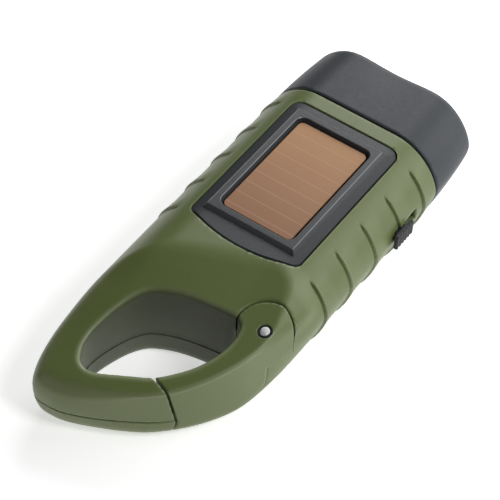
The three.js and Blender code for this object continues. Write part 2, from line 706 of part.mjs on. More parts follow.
// A closed coil of wire that turns round the gate pin inside the gate's pocket
function makeGateSpring() {
  const steps = SPRING_TURNS * 10;
  const z0 = GATE_LUG_HEIGHT + SPRING_WIRE;
  const points = [];
  for (let i = 0; i <= steps; i += 1) {
    const angle = (i / steps) * SPRING_TURNS * 2 * Math.PI;
    points.push(new THREE.Vector3(
      GATE_PIN_X + SPRING_RADIUS * Math.cos(angle),
      GATE_PIN_Y + SPRING_RADIUS * Math.sin(angle),
      z0 + (i / steps) * SPRING_TURNS * SPRING_PITCH,
    ));
  }
  place('gate_spring', tubeThrough(points, SPRING_WIRE / 2, 5, steps), 'steel');
}

// Round tube along a smooth path
function tubeThrough(points, radius, sides, steps) {
  const outline = [];
  for (let i = 0; i < sides; i += 1) {
    const angle = (i / sides) * 2 * Math.PI;
    outline.push([radius * Math.cos(angle), radius * Math.sin(angle)]);
  }
  const geometry = new THREE.ExtrudeGeometry(shapeOf(outline), {
    steps,
    bevelEnabled: false,
    extrudePath: new THREE.CatmullRomCurve3(points),
  });
  return toSolid(flipIfInsideOut(geometry));
}

// Plan outline of the solar frame: straight sides, round corners, bowed toward the tail
function bezelOutline(grow) {
  const halfLength = BEZEL_LENGTH / 2 + grow;
  const halfWidth = BEZEL_WIDTH / 2 + grow;
  const corner = BEZEL_CORNER + grow;
  const quarter = Math.PI / 2;
  const turn = Math.PI * CORNER_TURN_SHARE;
  const tailX = PANEL_X - halfLength + corner;
  const headX = PANEL_X + halfLength - corner;
  const sideY = halfWidth - corner;
  const shape = new THREE.Shape();
  shape.moveTo(tailX, halfWidth);
  shape.absarc(tailX, sideY, corner, quarter, Math.PI - turn, false);
  shape.quadraticCurveTo(
    PANEL_X - halfLength - 2 * BEZEL_BOW,
    0,
    tailX - corner * Math.cos(turn),
    -sideY - corner * Math.sin(turn),
  );
  shape.absarc(tailX, -sideY, corner, Math.PI + turn, 3 * quarter, false);
  shape.absarc(headX, -sideY, corner, 3 * quarter, 4 * quarter, false);
  shape.absarc(headX, sideY, corner, 0, quarter, false);
  return shape.extractPoints(5).shape.map((point) => [point.x, point.y]);
}

// Four corners about the middle of the panel
function rectangle(halfLength, halfWidth, z) {
  return [
    new THREE.Vector3(PANEL_X - halfLength, -halfWidth, z),
    new THREE.Vector3(PANEL_X + halfLength, -halfWidth, z),
    new THREE.Vector3(PANEL_X + halfLength, halfWidth, z),
    new THREE.Vector3(PANEL_X - halfLength, halfWidth, z),
  ];
}

// Four sided block whose lower and upper rectangles differ
function frustum(lowerLength, lowerWidth, z0, upperLength, upperWidth, z1) {
  const corners = [
    ...rectangle(lowerLength, lowerWidth, z0),
    ...rectangle(upperLength, upperWidth, z1),
  ];
  const geometry = new THREE.BufferGeometry();
  geometry.setAttribute(
    'position',
    new THREE.Float32BufferAttribute(corners.flatMap((point) => [point.x, point.y, point.z]), 3),
  );
  geometry.setIndex([
    0, 2, 1, 0, 3, 2, 4, 5, 6, 4, 6, 7, 0, 1, 5, 0, 5, 4,
    1, 2, 6, 1, 6, 5, 2, 3, 7, 2, 7, 6, 3, 0, 4, 3, 4, 7,
  ]);
  return toSolid(geometry);
}

// Frame with its raised ridge, the cell in it and the foam pad behind the cell
function makeSolarPanel() {
  const plinth = prismZ(bezelOutline(0), BEZEL_SEAT, BODY_THICKNESS + OVERRUN)
    .intersect(prismX(section(0), TAIL_X, JOINT_X));
  const ridgeLength = BEZEL_RIDGE_LENGTH / 2;
  const ridgeWidth = BEZEL_RIDGE_WIDTH / 2;
  const foot = BODY_THICKNESS - BEZEL_RIDGE_DRAFT;
  const flare = BEZEL_RIDGE_DRAFT * (BEZEL_RIDGE_TOP - foot) / (BEZEL_RIDGE_TOP - BODY_THICKNESS + FIT);
  const ridge = frustum(
    ridgeLength + flare / 2,
    ridgeWidth + flare / 2,
    foot,
    ridgeLength,
    ridgeWidth,
    BEZEL_RIDGE_TOP,
  );
  const seatLength = CELL_LENGTH / 2 + CLEARANCE;
  const seatWidth = CELL_WIDTH / 2 + CLEARANCE;
  const funnel = frustum(
    seatLength,
    seatWidth,
    CELL_TOP - CELL_THICKNESS / 2,
    ridgeLength - BEZEL_LIP / 2,
    ridgeWidth - BEZEL_LIP / 2,
    BEZEL_RIDGE_TOP + FIT,
  );
  const seat = block(
    PANEL_X - seatLength,
    PANEL_X + seatLength,
    -seatWidth,
    seatWidth,
    BEZEL_SEAT - OVERRUN,
    CELL_TOP,
  );
  place('solar_bezel', plinth.add(ridge).subtract(funnel).subtract(seat), 'charcoal');
  const bottom = CELL_TOP - CELL_THICKNESS;
  place('solar_cell', block(
    PANEL_X - CELL_LENGTH / 2,
    PANEL_X + CELL_LENGTH / 2,
    -CELL_WIDTH / 2,
    CELL_WIDTH / 2,
    bottom,
    CELL_TOP,
  ), 'cell');
  place('cell_pad', block(
    PANEL_X - CELL_LENGTH / 2 + PAD_INSET,
    PANEL_X + CELL_LENGTH / 2 - PAD_INSET,
    -CELL_WIDTH / 2 + PAD_INSET,
    CELL_WIDTH / 2 - PAD_INSET,
    BEZEL_SEAT + FIT,
    bottom - FIT,
  ), 'foam');
}

// Pocket in the top shell that the solar frame drops into
function panelPocket() {
  return prismZ(bezelOutline(CLEARANCE), BEZEL_SEAT - CLEARANCE, BODY_THICKNESS + OVERRUN);
}

// Places of the four case screws, from behind the flashlight
function casePlaces() {
  const front = JOINT_X - BOSS_RADIUS * FRONT_SCREW_SHARES[0];
  const side = HALF_WIDTH - BOSS_RADIUS * FRONT_SCREW_SHARES[1];
  return [
    [front, side],
    [front, -side],
    [CAVITY_X + BOSS_RADIUS * MIDDLE_SCREW_SHARES[0], HALF_WIDTH * MIDDLE_SCREW_SHARES[1]],
    [TAIL_X + BOSS_RADIUS * TAIL_SCREW_SHARES[0], HALF_WIDTH * TAIL_SCREW_SHARES[1]],
  ];
}

// Hollow of the body, walled off from the gate's disc
function cavity() {
  const front = JOINT_X + NECK_LENGTH + OVERRUN;
  const inner = prismX(section(WALL), CAVITY_X, JOINT_X - WALL)
    .add(prismX(section(NECK_INSET + NECK_WALL), JOINT_X - WALL * 2, front));
  const ceiling = block(CAVITY_X, front, -BODY_WIDTH, BODY_WIDTH, 0, CAVITY_CEILING);
  const slope = prismY(sideOutline(WALL), -BODY_WIDTH, BODY_WIDTH);
  const gateWall = post(
    GATE_DISC_RADIUS + CLEARANCE + WALL,
    GATE_PIN_X,
    GATE_PIN_Y,
    -OVERRUN,
    BODY_THICKNESS + OVERRUN,
  );
  return inner.intersect(ceiling).intersect(slope).subtract(gateWall);
}

// Spigot that the head hood slides over
function neck() {
  return prismX(section(NECK_INSET), JOINT_X - WALL, NECK_FRONT_X);
}

// Slot in the right flank that the switch's stem slides in
function switchSlot() {
  const front = SWITCH_X + STEM_LENGTH / 2 + SWITCH_TRAVEL + CLEARANCE;
  return block(
    SWITCH_X - STEM_LENGTH / 2 - CLEARANCE,
    front + CLEARANCE,
    -BODY_WIDTH,
    -HALF_WIDTH + WALL * 2,
    SWITCH_HEIGHT - STEM_HEIGHT / 2 - CLEARANCE,
    SWITCH_HEIGHT + STEM_HEIGHT / 2 + CLEARANCE,
  );
}

// Point given in crank radii from the crank's centre
function fromCrank([u, v]) {
  return [CRANK_X + u * CRANK_RADIUS, v * CRANK_RADIUS];
}

// Body without its cavity: outer form, loop, room for the gate, neck for the head
function bodyForm(outer, hole) {
  const pinHole = post(GATE_PIN_RADIUS + FIT, GATE_PIN_X, GATE_PIN_Y, WALL, BODY_THICKNESS, FINE_SEGMENTS);
  return outer.add(neck()).subtract(hole).subtract(gateSpace(CLEARANCE, GATE_SWING)).subtract(pinHole);
}

// Upper half of the housing, with bosses for the case screws
function makeTopShell(form, hollow) {
  const seam = SEAM_HEIGHT + SEAM_GAP / 2;
  const above = block(TAIL_X - OVERRUN, FRONT_X, -BODY_WIDTH, BODY_WIDTH, seam, BODY_WIDTH);
  let shell = form.subtract(hollow).intersect(above);
  for (const [x, y] of casePlaces().slice(0, 3)) {
    const boss = post(BOSS_RADIUS, x, y, seam, CAVITY_CEILING + FIT, FINE_SEGMENTS);
    shell = shell.add(boss.intersect(prismX(section(WALL / 2), TAIL_X, JOINT_X))
      .intersect(prismY(sideOutline(WALL / 2), -BODY_WIDTH, BODY_WIDTH)));
  }
  for (const [x, y] of casePlaces()) {
    shell = shell.subtract(post(SCREW_RADIUS + CLEARANCE, x, y, 0, caseScrewTop() + FIT, FINE_SEGMENTS));
  }
  place('top_shell', shell.subtract(panelPocket()).subtract(switchSlot()), 'green');
}

// Height that a case screw's tip reaches
function caseScrewTop() {
  return SCREW_SINK + SCREW_HEAD_HEIGHT + SCREW_LENGTH;
}

// Lower half of the housing: cup for the crank, posts, axle seats and screw holes
function makeBottomShell(form, hollow) {
  const seam = SEAM_HEIGHT - SEAM_GAP / 2;
  const below = block(TAIL_X - OVERRUN, FRONT_X, -BODY_WIDTH, BODY_WIDTH, -OVERRUN, seam);
  const cupRadius = CUP_RADIUS_INNER + CUP_WALL_SIDE;
  let inside = post(cupRadius, CRANK_X, 0, CRANK_SINK, CUP_TOP, ROUND_SEGMENTS * 2);
  for (const [x, y] of casePlaces().slice(0, 3)) {
    inside = inside.add(post(BOSS_RADIUS, x, y, WALL / 2, seam, FINE_SEGMENTS));
  }
  for (const [x, y] of PLATE_POST_SHARES.map(fromCrank)) {
    inside = inside.add(post(POST_RADIUS, x, y, WALL / 2, GEAR_PLATE_Z, FINE_SEGMENTS));
  }
  for (const [u, v] of BOARD_POST_SHARES) {
    const x = MAIN_BOARD_X + u * MAIN_BOARD_LENGTH;
    const y = v * MAIN_BOARD_WIDTH;
    inside = inside.add(post(POST_RADIUS, x, y, WALL / 2, MAIN_BOARD_HEIGHT - FIT, FINE_SEGMENTS));
  }
  let shell = form.subtract(hollow).intersect(below)
    .add(inside.intersect(prismX(section(WALL / 2), TAIL_X, JOINT_X)));
  for (const [x, y] of PLATE_POST_SHARES.map(fromCrank)) {
    const depth = GEAR_PLATE_Z - PLATE_SCREW_LENGTH;
    shell = shell.subtract(post(PLATE_SCREW_RADIUS + FIT, x, y, depth, BODY_THICKNESS, FINE_SEGMENTS));
  }
  shell = shell.subtract(post(CUP_RADIUS_INNER, CRANK_X, 0, -OVERRUN, CUP_CEILING, ROUND_SEGMENTS * 2));
  shell = shell.subtract(post(BUSH_RADIUS + FIT, CRANK_X, 0, CRANK_TOP, BODY_THICKNESS, FINE_SEGMENTS * 2));
  const seat = CUP_TOP - AXLE_SEAT_DEPTH;
  for (const [x, y] of [firstCentre(), secondCentre()]) {
    shell = shell.subtract(post(AXLE_RADIUS + FIT, x, y, seat, BODY_THICKNESS, FINE_SEGMENTS));
  }
  for (const [x, y] of casePlaces()) {
    shell = shell.subtract(post(SCREW_RADIUS + CLEARANCE, x, y, -OVERRUN, BODY_THICKNESS, FINE_SEGMENTS));
    shell = shell.subtract(post(
      SCREW_HEAD_RADIUS + CLEARANCE,
      x,
      y,
      -OVERRUN,
      SCREW_SINK + SCREW_HEAD_HEIGHT,
      FINE_SEGMENTS,
    ));
  }
  place('bottom_shell', shell, 'green');
}

// Screw standing on its head at z, its shank upward
function screw(headRadius, headHeight, radius, length, x, y, z) {
  const head = post(headRadius, x, y, z, z + headHeight, FINE_SEGMENTS);
  const shank = post(radius, x, y, z, z + headHeight + length, FINE_SEGMENTS / 2);
  const drive = headHeight / 2;
  const reach = headRadius * DRIVE_SHARE;
  const slotA = block(x - reach, x + reach, y - drive / 3, y + drive / 3, z - OVERRUN, z + drive);
  const slotB = block(x - drive / 3, x + drive / 3, y - reach, y + reach, z - OVERRUN, z + drive);
  return head.add(shank).subtract(slotA.add(slotB));
}

// Screws that hold the two halves of the housing together
function makeCaseScrews() {
  casePlaces().forEach(([x, y], index) => {
    place(
      `case_screw_${index + 1}`,
      screw(SCREW_HEAD_RADIUS, SCREW_HEAD_HEIGHT - FIT, SCREW_RADIUS, SCREW_LENGTH, x, y, SCREW_SINK),
      'steel',
    );
  });
}

// Screws that hold the gear plate down on its posts
function makePlateScrews() {
  PLATE_POST_SHARES.forEach((share, index) => {
    const [x, y] = fromCrank(share);
    const z = GEAR_PLATE_Z + GEAR_PLATE_THICKNESS + PLATE_SCREW_HEAD_HEIGHT + 2 * FIT;
    const body = screw(
      PLATE_SCREW_HEAD_RADIUS,
      PLATE_SCREW_HEAD_HEIGHT,
      PLATE_SCREW_RADIUS,
      PLATE_SCREW_LENGTH,
      0,
      0,
      0,
    );
    place(`plate_screw_${index + 1}`, body.rotate([180, 0, 0]).translate([x, y, z]), 'steel');
  });
}

// Cross section of the head at a share of its length: it narrows, and the top and bottom
// dip between the two lamps
function headSection(x, inset) {
  const share = Math.max(0, (x - JOINT_X) / HEAD_LENGTH);
  const narrow = 1 - (HOOD_TAPER * share * share) / HALF_WIDTH;
  const dip = HOOD_SADDLE * share * share;
  const points = section(inset);
  return denser(points).map(([y, z]) => {
    const middle = Math.abs(y) < LOBE_OFFSET ? 0.5 + 0.5 * Math.cos((Math.PI * y) / LOBE_OFFSET) : 0;
    const side = z > MID_HEIGHT ? -1 : 1;
    const flat = Math.abs(z - MID_HEIGHT) > MID_HEIGHT / 2 ? 1 : 0;
    return [y * narrow, z + side * flat * middle * dip];
  });
}

// Adds points along the long flat runs of a ring, so that they can bend; every inset gets as many
function denser(points) {
  const result = [];
  const guide = section(0);
  points.forEach((point, index) => {
    const next = points[(index + 1) % points.length];
    const [startY, startZ] = guide[index];
    const [endY, endZ] = guide[(index + 1) % guide.length];
    const pieces = Math.max(1, Math.round(Math.hypot(endY - startY, endZ - startZ) / (LOBE_OFFSET / 3)));
    for (let i = 0; i < pieces; i += 1) {
      const share = i / pieces;
      result.push([point[0] + (next[0] - point[0]) * share, point[1] + (next[1] - point[1]) * share]);
    }
  });
  return result;
}

// Rings of the head's outline between two places along it
function headRings(x0, x1, inset) {
  const rings = [];
  for (let i = 0; i <= HEAD_STEPS; i += 1) {
    const x = x0 + ((x1 - x0) * i) / HEAD_STEPS;
    rings.push(ring(headSection(x, inset), x));
  }
  return rings;
}

// Solid slice of the head
function headForm(x0, x1, inset) {
  return toSolid(loft(headRings(x0, x1, inset)));
}

// Hood, gasket, lens, reflector and lamps
function makeHead() {
  const start = JOINT_X + GASKET_THICKNESS + CLEARANCE / 2;
  const lipX = FRONT_X - HOOD_LIP_DEPTH;
  const rings = [
    ...headRings(start, FRONT_X - HOOD_EDGE, 0),
    ring(headSection(FRONT_X, HOOD_EDGE), FRONT_X),
    ring(headSection(FRONT_X, HOOD_WALL + HOOD_LIP), FRONT_X),
    ring(headSection(lipX, HOOD_WALL + HOOD_LIP), lipX),
    ...headRings(lipX, start, HOOD_WALL),
  ];
  place('head_hood', toSolid(loft(rings, true)), 'charcoal');
  const gasket = prismX(section(GASKET_SINK), JOINT_X + FIT, JOINT_X + GASKET_THICKNESS)
    .subtract(prismX(section(NECK_INSET - CLEARANCE), JOINT_X - OVERRUN, JOINT_X + OVERRUN));
  place('head_gasket', gasket, 'rubber');
  const lens = headForm(LENS_FRONT_X - LENS_THICKNESS, LENS_FRONT_X, HOOD_WALL + CLEARANCE);
  place('lens', lens, 'clear');
  makeReflector();
  makeLeds();
}

// Two polished cups side by side in one moulding
function makeReflector() {
  const back = REFLECTOR_FRONT_X - REFLECTOR_LENGTH;
  let body = headForm(back, REFLECTOR_FRONT_X, HOOD_WALL + CLEARANCE);
  for (const y of [-LOBE_OFFSET, LOBE_OFFSET]) {
    const bowl = REFLECTOR_CURVE_SHARES.map(([r, h]) => [r * CUP_RADIUS, h * REFLECTOR_LENGTH]);
    const top = REFLECTOR_LENGTH + OVERRUN;
    const profile = [[0, -OVERRUN], [bowl[0][0], -OVERRUN], ...bowl, [CUP_RADIUS, top], [0, top]];
    body = body.subtract(turnedAlongX(profile, ROUND_SEGMENTS).translate([back, y, MID_HEIGHT]));
  }
  place('reflector', body, 'mirror');
}

// Board with two domed lamps, one in each cup
function makeLeds() {
  const board = prismX(
    section(NECK_INSET + NECK_WALL + CLEARANCE),
    LED_BOARD_X,
    LED_BOARD_X + BOARD_THICKNESS,
  );
  place('led_board', board, 'board');
  const names = { led_left: LOBE_OFFSET, led_right: -LOBE_OFFSET };
  for (const [name, y] of Object.entries(names)) {
    const dome = LED_DOME_SHARES.map(([r, h]) => [r * LED_RADIUS, h * LED_LENGTH]);
    const profile = [
      [0, 0],
      [LED_RADIUS + LED_FLANGE, 0],
      [LED_RADIUS + LED_FLANGE, LED_FLANGE * 2],
      [LED_RADIUS, LED_FLANGE * 2],
      ...dome,
    ];
    const body = turnedAlongX(profile, FINE_SEGMENTS);
    place(name, body.translate([LED_BOARD_X + BOARD_THICKNESS + FIT, y, MID_HEIGHT]), 'clear');
  }
}

// Round crank plate with a groove that the folded handle lies in
function makeCrankDisc() {
  const rim = CRANK_RADIUS - CRANK_RIM_CHAMFER * RIM_SHARE;
  const plate = turned([
    [0, CRANK_SINK],
    [rim, CRANK_SINK],
    [CRANK_RADIUS, CRANK_SINK + CRANK_RIM_CHAMFER],
    [CRANK_RADIUS, CRANK_TOP],
    [0, CRANK_TOP],
  ], ROUND_SEGMENTS * 2).translate([CRANK_X, 0, 0]);
  const groove = block(
    CRANK_X - GROOVE_REACH,
    CRANK_X + GROOVE_REACH,
    -GROOVE_WIDTH / 2,
    GROOVE_WIDTH / 2,
    -OVERRUN,
    CRANK_SINK + GROOVE_DEPTH,
  );
  const notchX = CRANK_X - GROOVE_REACH + NOTCH_RADIUS * NOTCH_PLACE_SHARE;
  const notch = post(NOTCH_RADIUS, notchX, 0, -OVERRUN, CRANK_SINK + NOTCH_DEPTH, FINE_SEGMENTS * 2);
  const shaftHole = post(SHAFT_RADIUS + FIT, CRANK_X, 0, 0, BODY_THICKNESS, FINE_SEGMENTS);
  const grip = GROOVE_WIDTH / 2 + HANDLE_PIN_GRIP;
  const pinHole = barrel(HANDLE_PIN_RADIUS + FIT, HINGE_X, -grip, grip, HANDLE_HEIGHT);
  const disc = plate.subtract(groove).subtract(notch).subtract(shaftHole).subtract(pinHole);
  place('crank_disc', disc, 'charcoal');
  const pin = barrel(HANDLE_PIN_RADIUS, HINGE_X, -grip + FIT, grip - FIT, HANDLE_HEIGHT);
  place('handle_pin', pin, 'steel');
}

// Shaft through its bush, held by a clip above the gear
function makeCrankShaft() {
  const bottom = CRANK_SINK + GROOVE_DEPTH + FIT;
  const clipZ = CRANK_GEAR_TOP + FIT;
  const top = clipZ + CLIP_THICKNESS + FIT;
  const shaft = post(SHAFT_RADIUS, CRANK_X, 0, bottom, top, FINE_SEGMENTS);
  place('crank_shaft', shaft, 'steel');
  const bush = post(BUSH_RADIUS, CRANK_X, 0, CUP_CEILING, CUP_TOP + FIT, FINE_SEGMENTS * 2)
    .subtract(post(SHAFT_RADIUS + CLEARANCE, CRANK_X, 0, 0, BODY_THICKNESS, FINE_SEGMENTS * 2));
  place('crank_bush', bush, 'brass');
  const slot = SHAFT_RADIUS / 2;
  const opening = block(CRANK_X, CRANK_X + CLIP_RADIUS * 2, -slot, slot, 0, BODY_WIDTH);
  const clip = post(CLIP_RADIUS, CRANK_X, 0, clipZ, clipZ + CLIP_THICKNESS, FINE_SEGMENTS)
    .subtract(post(SHAFT_RADIUS + FIT, CRANK_X, 0, 0, BODY_THICKNESS, FINE_SEGMENTS))
    .subtract(opening);
  place('crank_clip', clip, 'steel');
}

// Fold-out handle: a barrel on the hinge pin and a spindle for the grip
function makeHandle() {
  const halfBarrel = GROOVE_WIDTH / 2 - CLEARANCE;
  const sides = FINE_SEGMENTS * 2;
  const hub = barrel(HANDLE_BARREL_RADIUS, HINGE_X, -halfBarrel, halfBarrel, HANDLE_HEIGHT, sides);
  const spindle = rod(SPINDLE_RADIUS, SPINDLE_END_X, HINGE_X, 0, HANDLE_HEIGHT);
  const bore = barrel(HANDLE_PIN_RADIUS + CLEARANCE, HINGE_X, -BODY_WIDTH, BODY_WIDTH, HANDLE_HEIGHT);
  place('crank_handle', hub.add(spindle).subtract(bore), 'charcoal');
  const grip = rod(GRIP_RADIUS, SPINDLE_END_X + CLEARANCE, GRIP_START_X, 0, HANDLE_HEIGHT, sides)
    .subtract(rod(SPINDLE_RADIUS + CLEARANCE, TAIL_X, FRONT_X, 0, HANDLE_HEIGHT));
  place('handle_grip', grip, 'charcoal');
  const cap = rod(GRIP_CAP_RADIUS, SPINDLE_END_X - GRIP_CAP_LENGTH, SPINDLE_END_X - FIT, 0, HANDLE_HEIGHT);
  place('grip_screw', cap, 'steel');
}

// Spur gear outline with straight sided teeth, one tooth at the phase angle
function gearOutline(teeth, phase) {
  const pitchRadius = (MODULE * teeth) / 2;
  const rootRadius = pitchRadius - MODULE * TOOTH_SHARES.root;
  const tipRadius = pitchRadius + MODULE * TOOTH_SHARES.tip;
  const rootHalf = MODULE * TOOTH_SHARES.rootHalf;
  const tipHalf = MODULE * TOOTH_SHARES.tipHalf;
  const points = [];
  for (let i = 0; i < teeth; i += 1) {
    const middle = phase + (i / teeth) * 2 * Math.PI;
    const corners = [
      [rootRadius, -rootHalf],
      [tipRadius, -tipHalf],
      [tipRadius, tipHalf],
      [rootRadius, rootHalf],
    ];
    for (const [radius, half] of corners) {
      const angle = middle + half / radius;
      points.push([radius * Math.cos(angle), radius * Math.sin(angle)]);
    }
  }
  return points;
}

// Spur gear between two heights
function gear(teeth, phase, x, y, z0, z1) {
  return prismZ(gearOutline(teeth, phase), z0, z1).translate([x, y, 0]);
}

// Phase that puts a gap of the driven gear over a tooth of the driver
function meshedPhase(driverPhase, driverTeeth, drivenTeeth, direction) {
  const driverStep = (2 * Math.PI) / driverTeeth;
  const drivenStep = (2 * Math.PI) / drivenTeeth;
  const lead = (driverPhase - direction) / driverStep;
  return direction + Math.PI - lead * drivenStep + drivenStep / 2;
}

// Distance between the axles of two meshing gears
function centreDistance(teethA, teethB) {
  return (MODULE * (teethA + teethB)) / 2;
}

// Axle places of the gear train, one after another
function firstCentre() {
  const angle = THREE.MathUtils.degToRad(FIRST_GEAR_ANGLE);
  const reach = centreDistance(CRANK_TEETH, FIRST_PINION_TEETH);
  return [CRANK_X + reach * Math.cos(angle), reach * Math.sin(angle)];
}

function secondCentre() {
  const [x, y] = firstCentre();
  const angle = THREE.MathUtils.degToRad(SECOND_GEAR_ANGLE);
  const reach = centreDistance(FIRST_WHEEL_TEETH, SECOND_PINION_TEETH);
  return [x + reach * Math.cos(angle), y + reach * Math.sin(angle)];
}

function rotorCentre() {
  const [x, y] = secondCentre();
  const angle = THREE.MathUtils.degToRad(ROTOR_ANGLE);
  const reach = centreDistance(SECOND_WHEEL_TEETH, ROTOR_TEETH);
  return [x + reach * Math.cos(angle), y + reach * Math.sin(angle)];
}

// Pinion and wheel in one moulding, turning on a fixed axle
function makeCompoundGear(name, centre, pinionTeeth, pinionPhase, wheelTeeth, pinionZ, wheelZ) {
  const [x, y] = centre;
  const body = gear(pinionTeeth, pinionPhase, x, y, pinionZ, wheelZ + FIT)
    .add(gear(wheelTeeth, 0, x, y, wheelZ, wheelZ + WHEEL_THICKNESS))
    .subtract(post(AXLE_RADIUS + CLEARANCE, x, y, 0, BODY_THICKNESS, FINE_SEGMENTS));
  place(name, body, 'nylon');
}

// Fixed pin that a compound gear turns on
function makeAxle(name, [x, y]) {
  const bottom = CUP_TOP - AXLE_SEAT_DEPTH + FIT;
  const top = GEAR_PLATE_Z + GEAR_PLATE_THICKNESS - FIT;
  place(name, post(AXLE_RADIUS, x, y, bottom, top, FINE_SEGMENTS), 'steel');
}

// Crank gear, two compound gears with their axles, and the generator's pinion
function makeGearTrain() {
  const firstAngle = THREE.MathUtils.degToRad(FIRST_GEAR_ANGLE);
  const secondAngle = THREE.MathUtils.degToRad(SECOND_GEAR_ANGLE);
  const rotorAngle = THREE.MathUtils.degToRad(ROTOR_ANGLE);
  const crankGear = gear(CRANK_TEETH, 0, CRANK_X, 0, CRANK_GEAR_Z, CRANK_GEAR_TOP)
    .subtract(post(SHAFT_RADIUS + FIT, CRANK_X, 0, 0, BODY_THICKNESS, FINE_SEGMENTS));
  place('crank_gear', crankGear, 'nylon');
  const firstPhase = meshedPhase(0, CRANK_TEETH, FIRST_PINION_TEETH, firstAngle);
  makeCompoundGear(
    'first_gear',
    firstCentre(),
    FIRST_PINION_TEETH,
    firstPhase,
    FIRST_WHEEL_TEETH,
    CRANK_GEAR_Z,
    FIRST_WHEEL_Z,
  );
  const secondPhase = meshedPhase(0, FIRST_WHEEL_TEETH, SECOND_PINION_TEETH, secondAngle);
  makeCompoundGear(
    'second_gear',
    secondCentre(),
    SECOND_PINION_TEETH,
    secondPhase,
    SECOND_WHEEL_TEETH,
    FIRST_WHEEL_Z - CLEARANCE,
    SECOND_WHEEL_Z,
  );
  makeAxle('first_axle', firstCentre());
  makeAxle('second_axle', secondCentre());
  const [x, y] = rotorCentre();
  const rotorPhase = meshedPhase(0, SECOND_WHEEL_TEETH, ROTOR_TEETH, rotorAngle);
  const pinion = gear(ROTOR_TEETH, rotorPhase, x, y, SECOND_WHEEL_Z - CLEARANCE, GEAR_PLATE_Z - CLEARANCE)
    .subtract(post(ROTOR_SHAFT_RADIUS + FIT, x, y, 0, BODY_THICKNESS, FINE_SEGMENTS));
  place('rotor_pinion', pinion, 'brass');
}

// Steel plate over the gears; it carries the generator
function makeGearPlate() {
  const top = GEAR_PLATE_Z + GEAR_PLATE_THICKNESS;
  let plate = prismZ(GEAR_PLATE_SHARES.map(fromCrank), GEAR_PLATE_Z + FIT, top);
  for (const [x, y] of [firstCentre(), secondCentre()]) {
    plate = plate.subtract(post(AXLE_RADIUS + FIT, x, y, 0, BODY_THICKNESS, FINE_SEGMENTS));
  }
  const [rotorX, rotorY] = rotorCentre();
  const opening = post(ROTOR_SHAFT_RADIUS + CLEARANCE, rotorX, rotorY, 0, BODY_THICKNESS, FINE_SEGMENTS);
  plate = plate.subtract(opening);
  for (const share of PLATE_POST_SHARES) {
    const [x, y] = fromCrank(share);
    plate = plate.subtract(post(PLATE_SCREW_RADIUS + FIT, x, y, 0, BODY_THICKNESS, FINE_SEGMENTS));
  }
  place('gear_plate', plate, 'steel');
}

// Flat generator: can, coil and the magnet on its shaft
function makeGenerator() {
  const [x, y] = rotorCentre();
  const top = GENERATOR_Z + GENERATOR_HEIGHT;
  const can = post(GENERATOR_RADIUS, x, y, GENERATOR_Z, top, ROUND_SEGMENTS)
    .subtract(post(GENERATOR_RADIUS - GENERATOR_WALL, x, y, 0, top - GENERATOR_WALL, ROUND_SEGMENTS))
    .subtract(post(ROTOR_SHAFT_RADIUS + CLEARANCE, x, y, 0, BODY_THICKNESS, FINE_SEGMENTS));
  place('generator_can', can, 'steel');
  const coilTop = top - GENERATOR_WALL - CLEARANCE;
  const coil = post(COIL_OUTER_RADIUS, x, y, GENERATOR_Z, coilTop, ROUND_SEGMENTS)
    .subtract(post(COIL_INNER_RADIUS, x, y, 0, BODY_THICKNESS, ROUND_SEGMENTS));
  place('stator_coil', coil, 'copper');
  const magnet = post(MAGNET_RADIUS, x, y, GENERATOR_Z + CLEARANCE, coilTop, FINE_SEGMENTS * 2);
  const shaft = post(ROTOR_SHAFT_RADIUS, x, y, SECOND_WHEEL_Z - CLEARANCE * 2, top, FINE_SEGMENTS);
  place('rotor', magnet.add(shaft), 'steel');
}

// Coin cell in its holder, with a strap contact over it
function makeBattery() {
  const holderZ = MAIN_BOARD_HEIGHT + BOARD_THICKNESS + FIT;
  const cellZ = holderZ + HOLDER_FLOOR + FIT;
  const outer = BATTERY_RADIUS + CLEARANCE + HOLDER_WALL;
  const mouth = block(BATTERY_X - BODY_WIDTH, BATTERY_X, -HALF_WIDTH, HALF_WIDTH, cellZ, BODY_THICKNESS);
  const openSide = block(
    BATTERY_X - outer,
    BATTERY_X - BATTERY_RADIUS / 2,
    BATTERY_OFFSET - BATTERY_RADIUS / 2,
    BATTERY_OFFSET + BATTERY_RADIUS / 2,
    cellZ,
    BODY_THICKNESS,
  ).intersect(mouth);
  const rim = cellZ + BATTERY_THICKNESS * HOLDER_HEIGHT_SHARE;
  const holder = post(outer, BATTERY_X, BATTERY_OFFSET, holderZ, rim)
    .subtract(post(BATTERY_RADIUS + CLEARANCE, BATTERY_X, BATTERY_OFFSET, cellZ - FIT, BODY_THICKNESS))
    .subtract(openSide);
  place('battery_holder', holder, 'charcoal');
  const coin = post(BATTERY_RADIUS, BATTERY_X, BATTERY_OFFSET, cellZ, cellZ + BATTERY_THICKNESS);
  place('battery', coin, 'steel');
  const strapZ = cellZ + BATTERY_THICKNESS + FIT;
  const foot = MAIN_BOARD_HEIGHT + BOARD_THICKNESS + FIT;
  const side = BATTERY_OFFSET - outer - CLEARANCE;
  const strap = block(
    BATTERY_X - CONTACT_WIDTH / 2,
    BATTERY_X + CONTACT_WIDTH / 2,
    side - CONTACT_THICKNESS,
    BATTERY_OFFSET + BATTERY_RADIUS / 2,
    strapZ,
    strapZ + CONTACT_THICKNESS,
  ).add(block(
    BATTERY_X - CONTACT_WIDTH / 2,
    BATTERY_X + CONTACT_WIDTH / 2,
    side - CONTACT_THICKNESS,
    side,
    foot,
    strapZ + CONTACT_THICKNESS / 2,
  ));
  place('battery_contact', strap, 'brass');
}

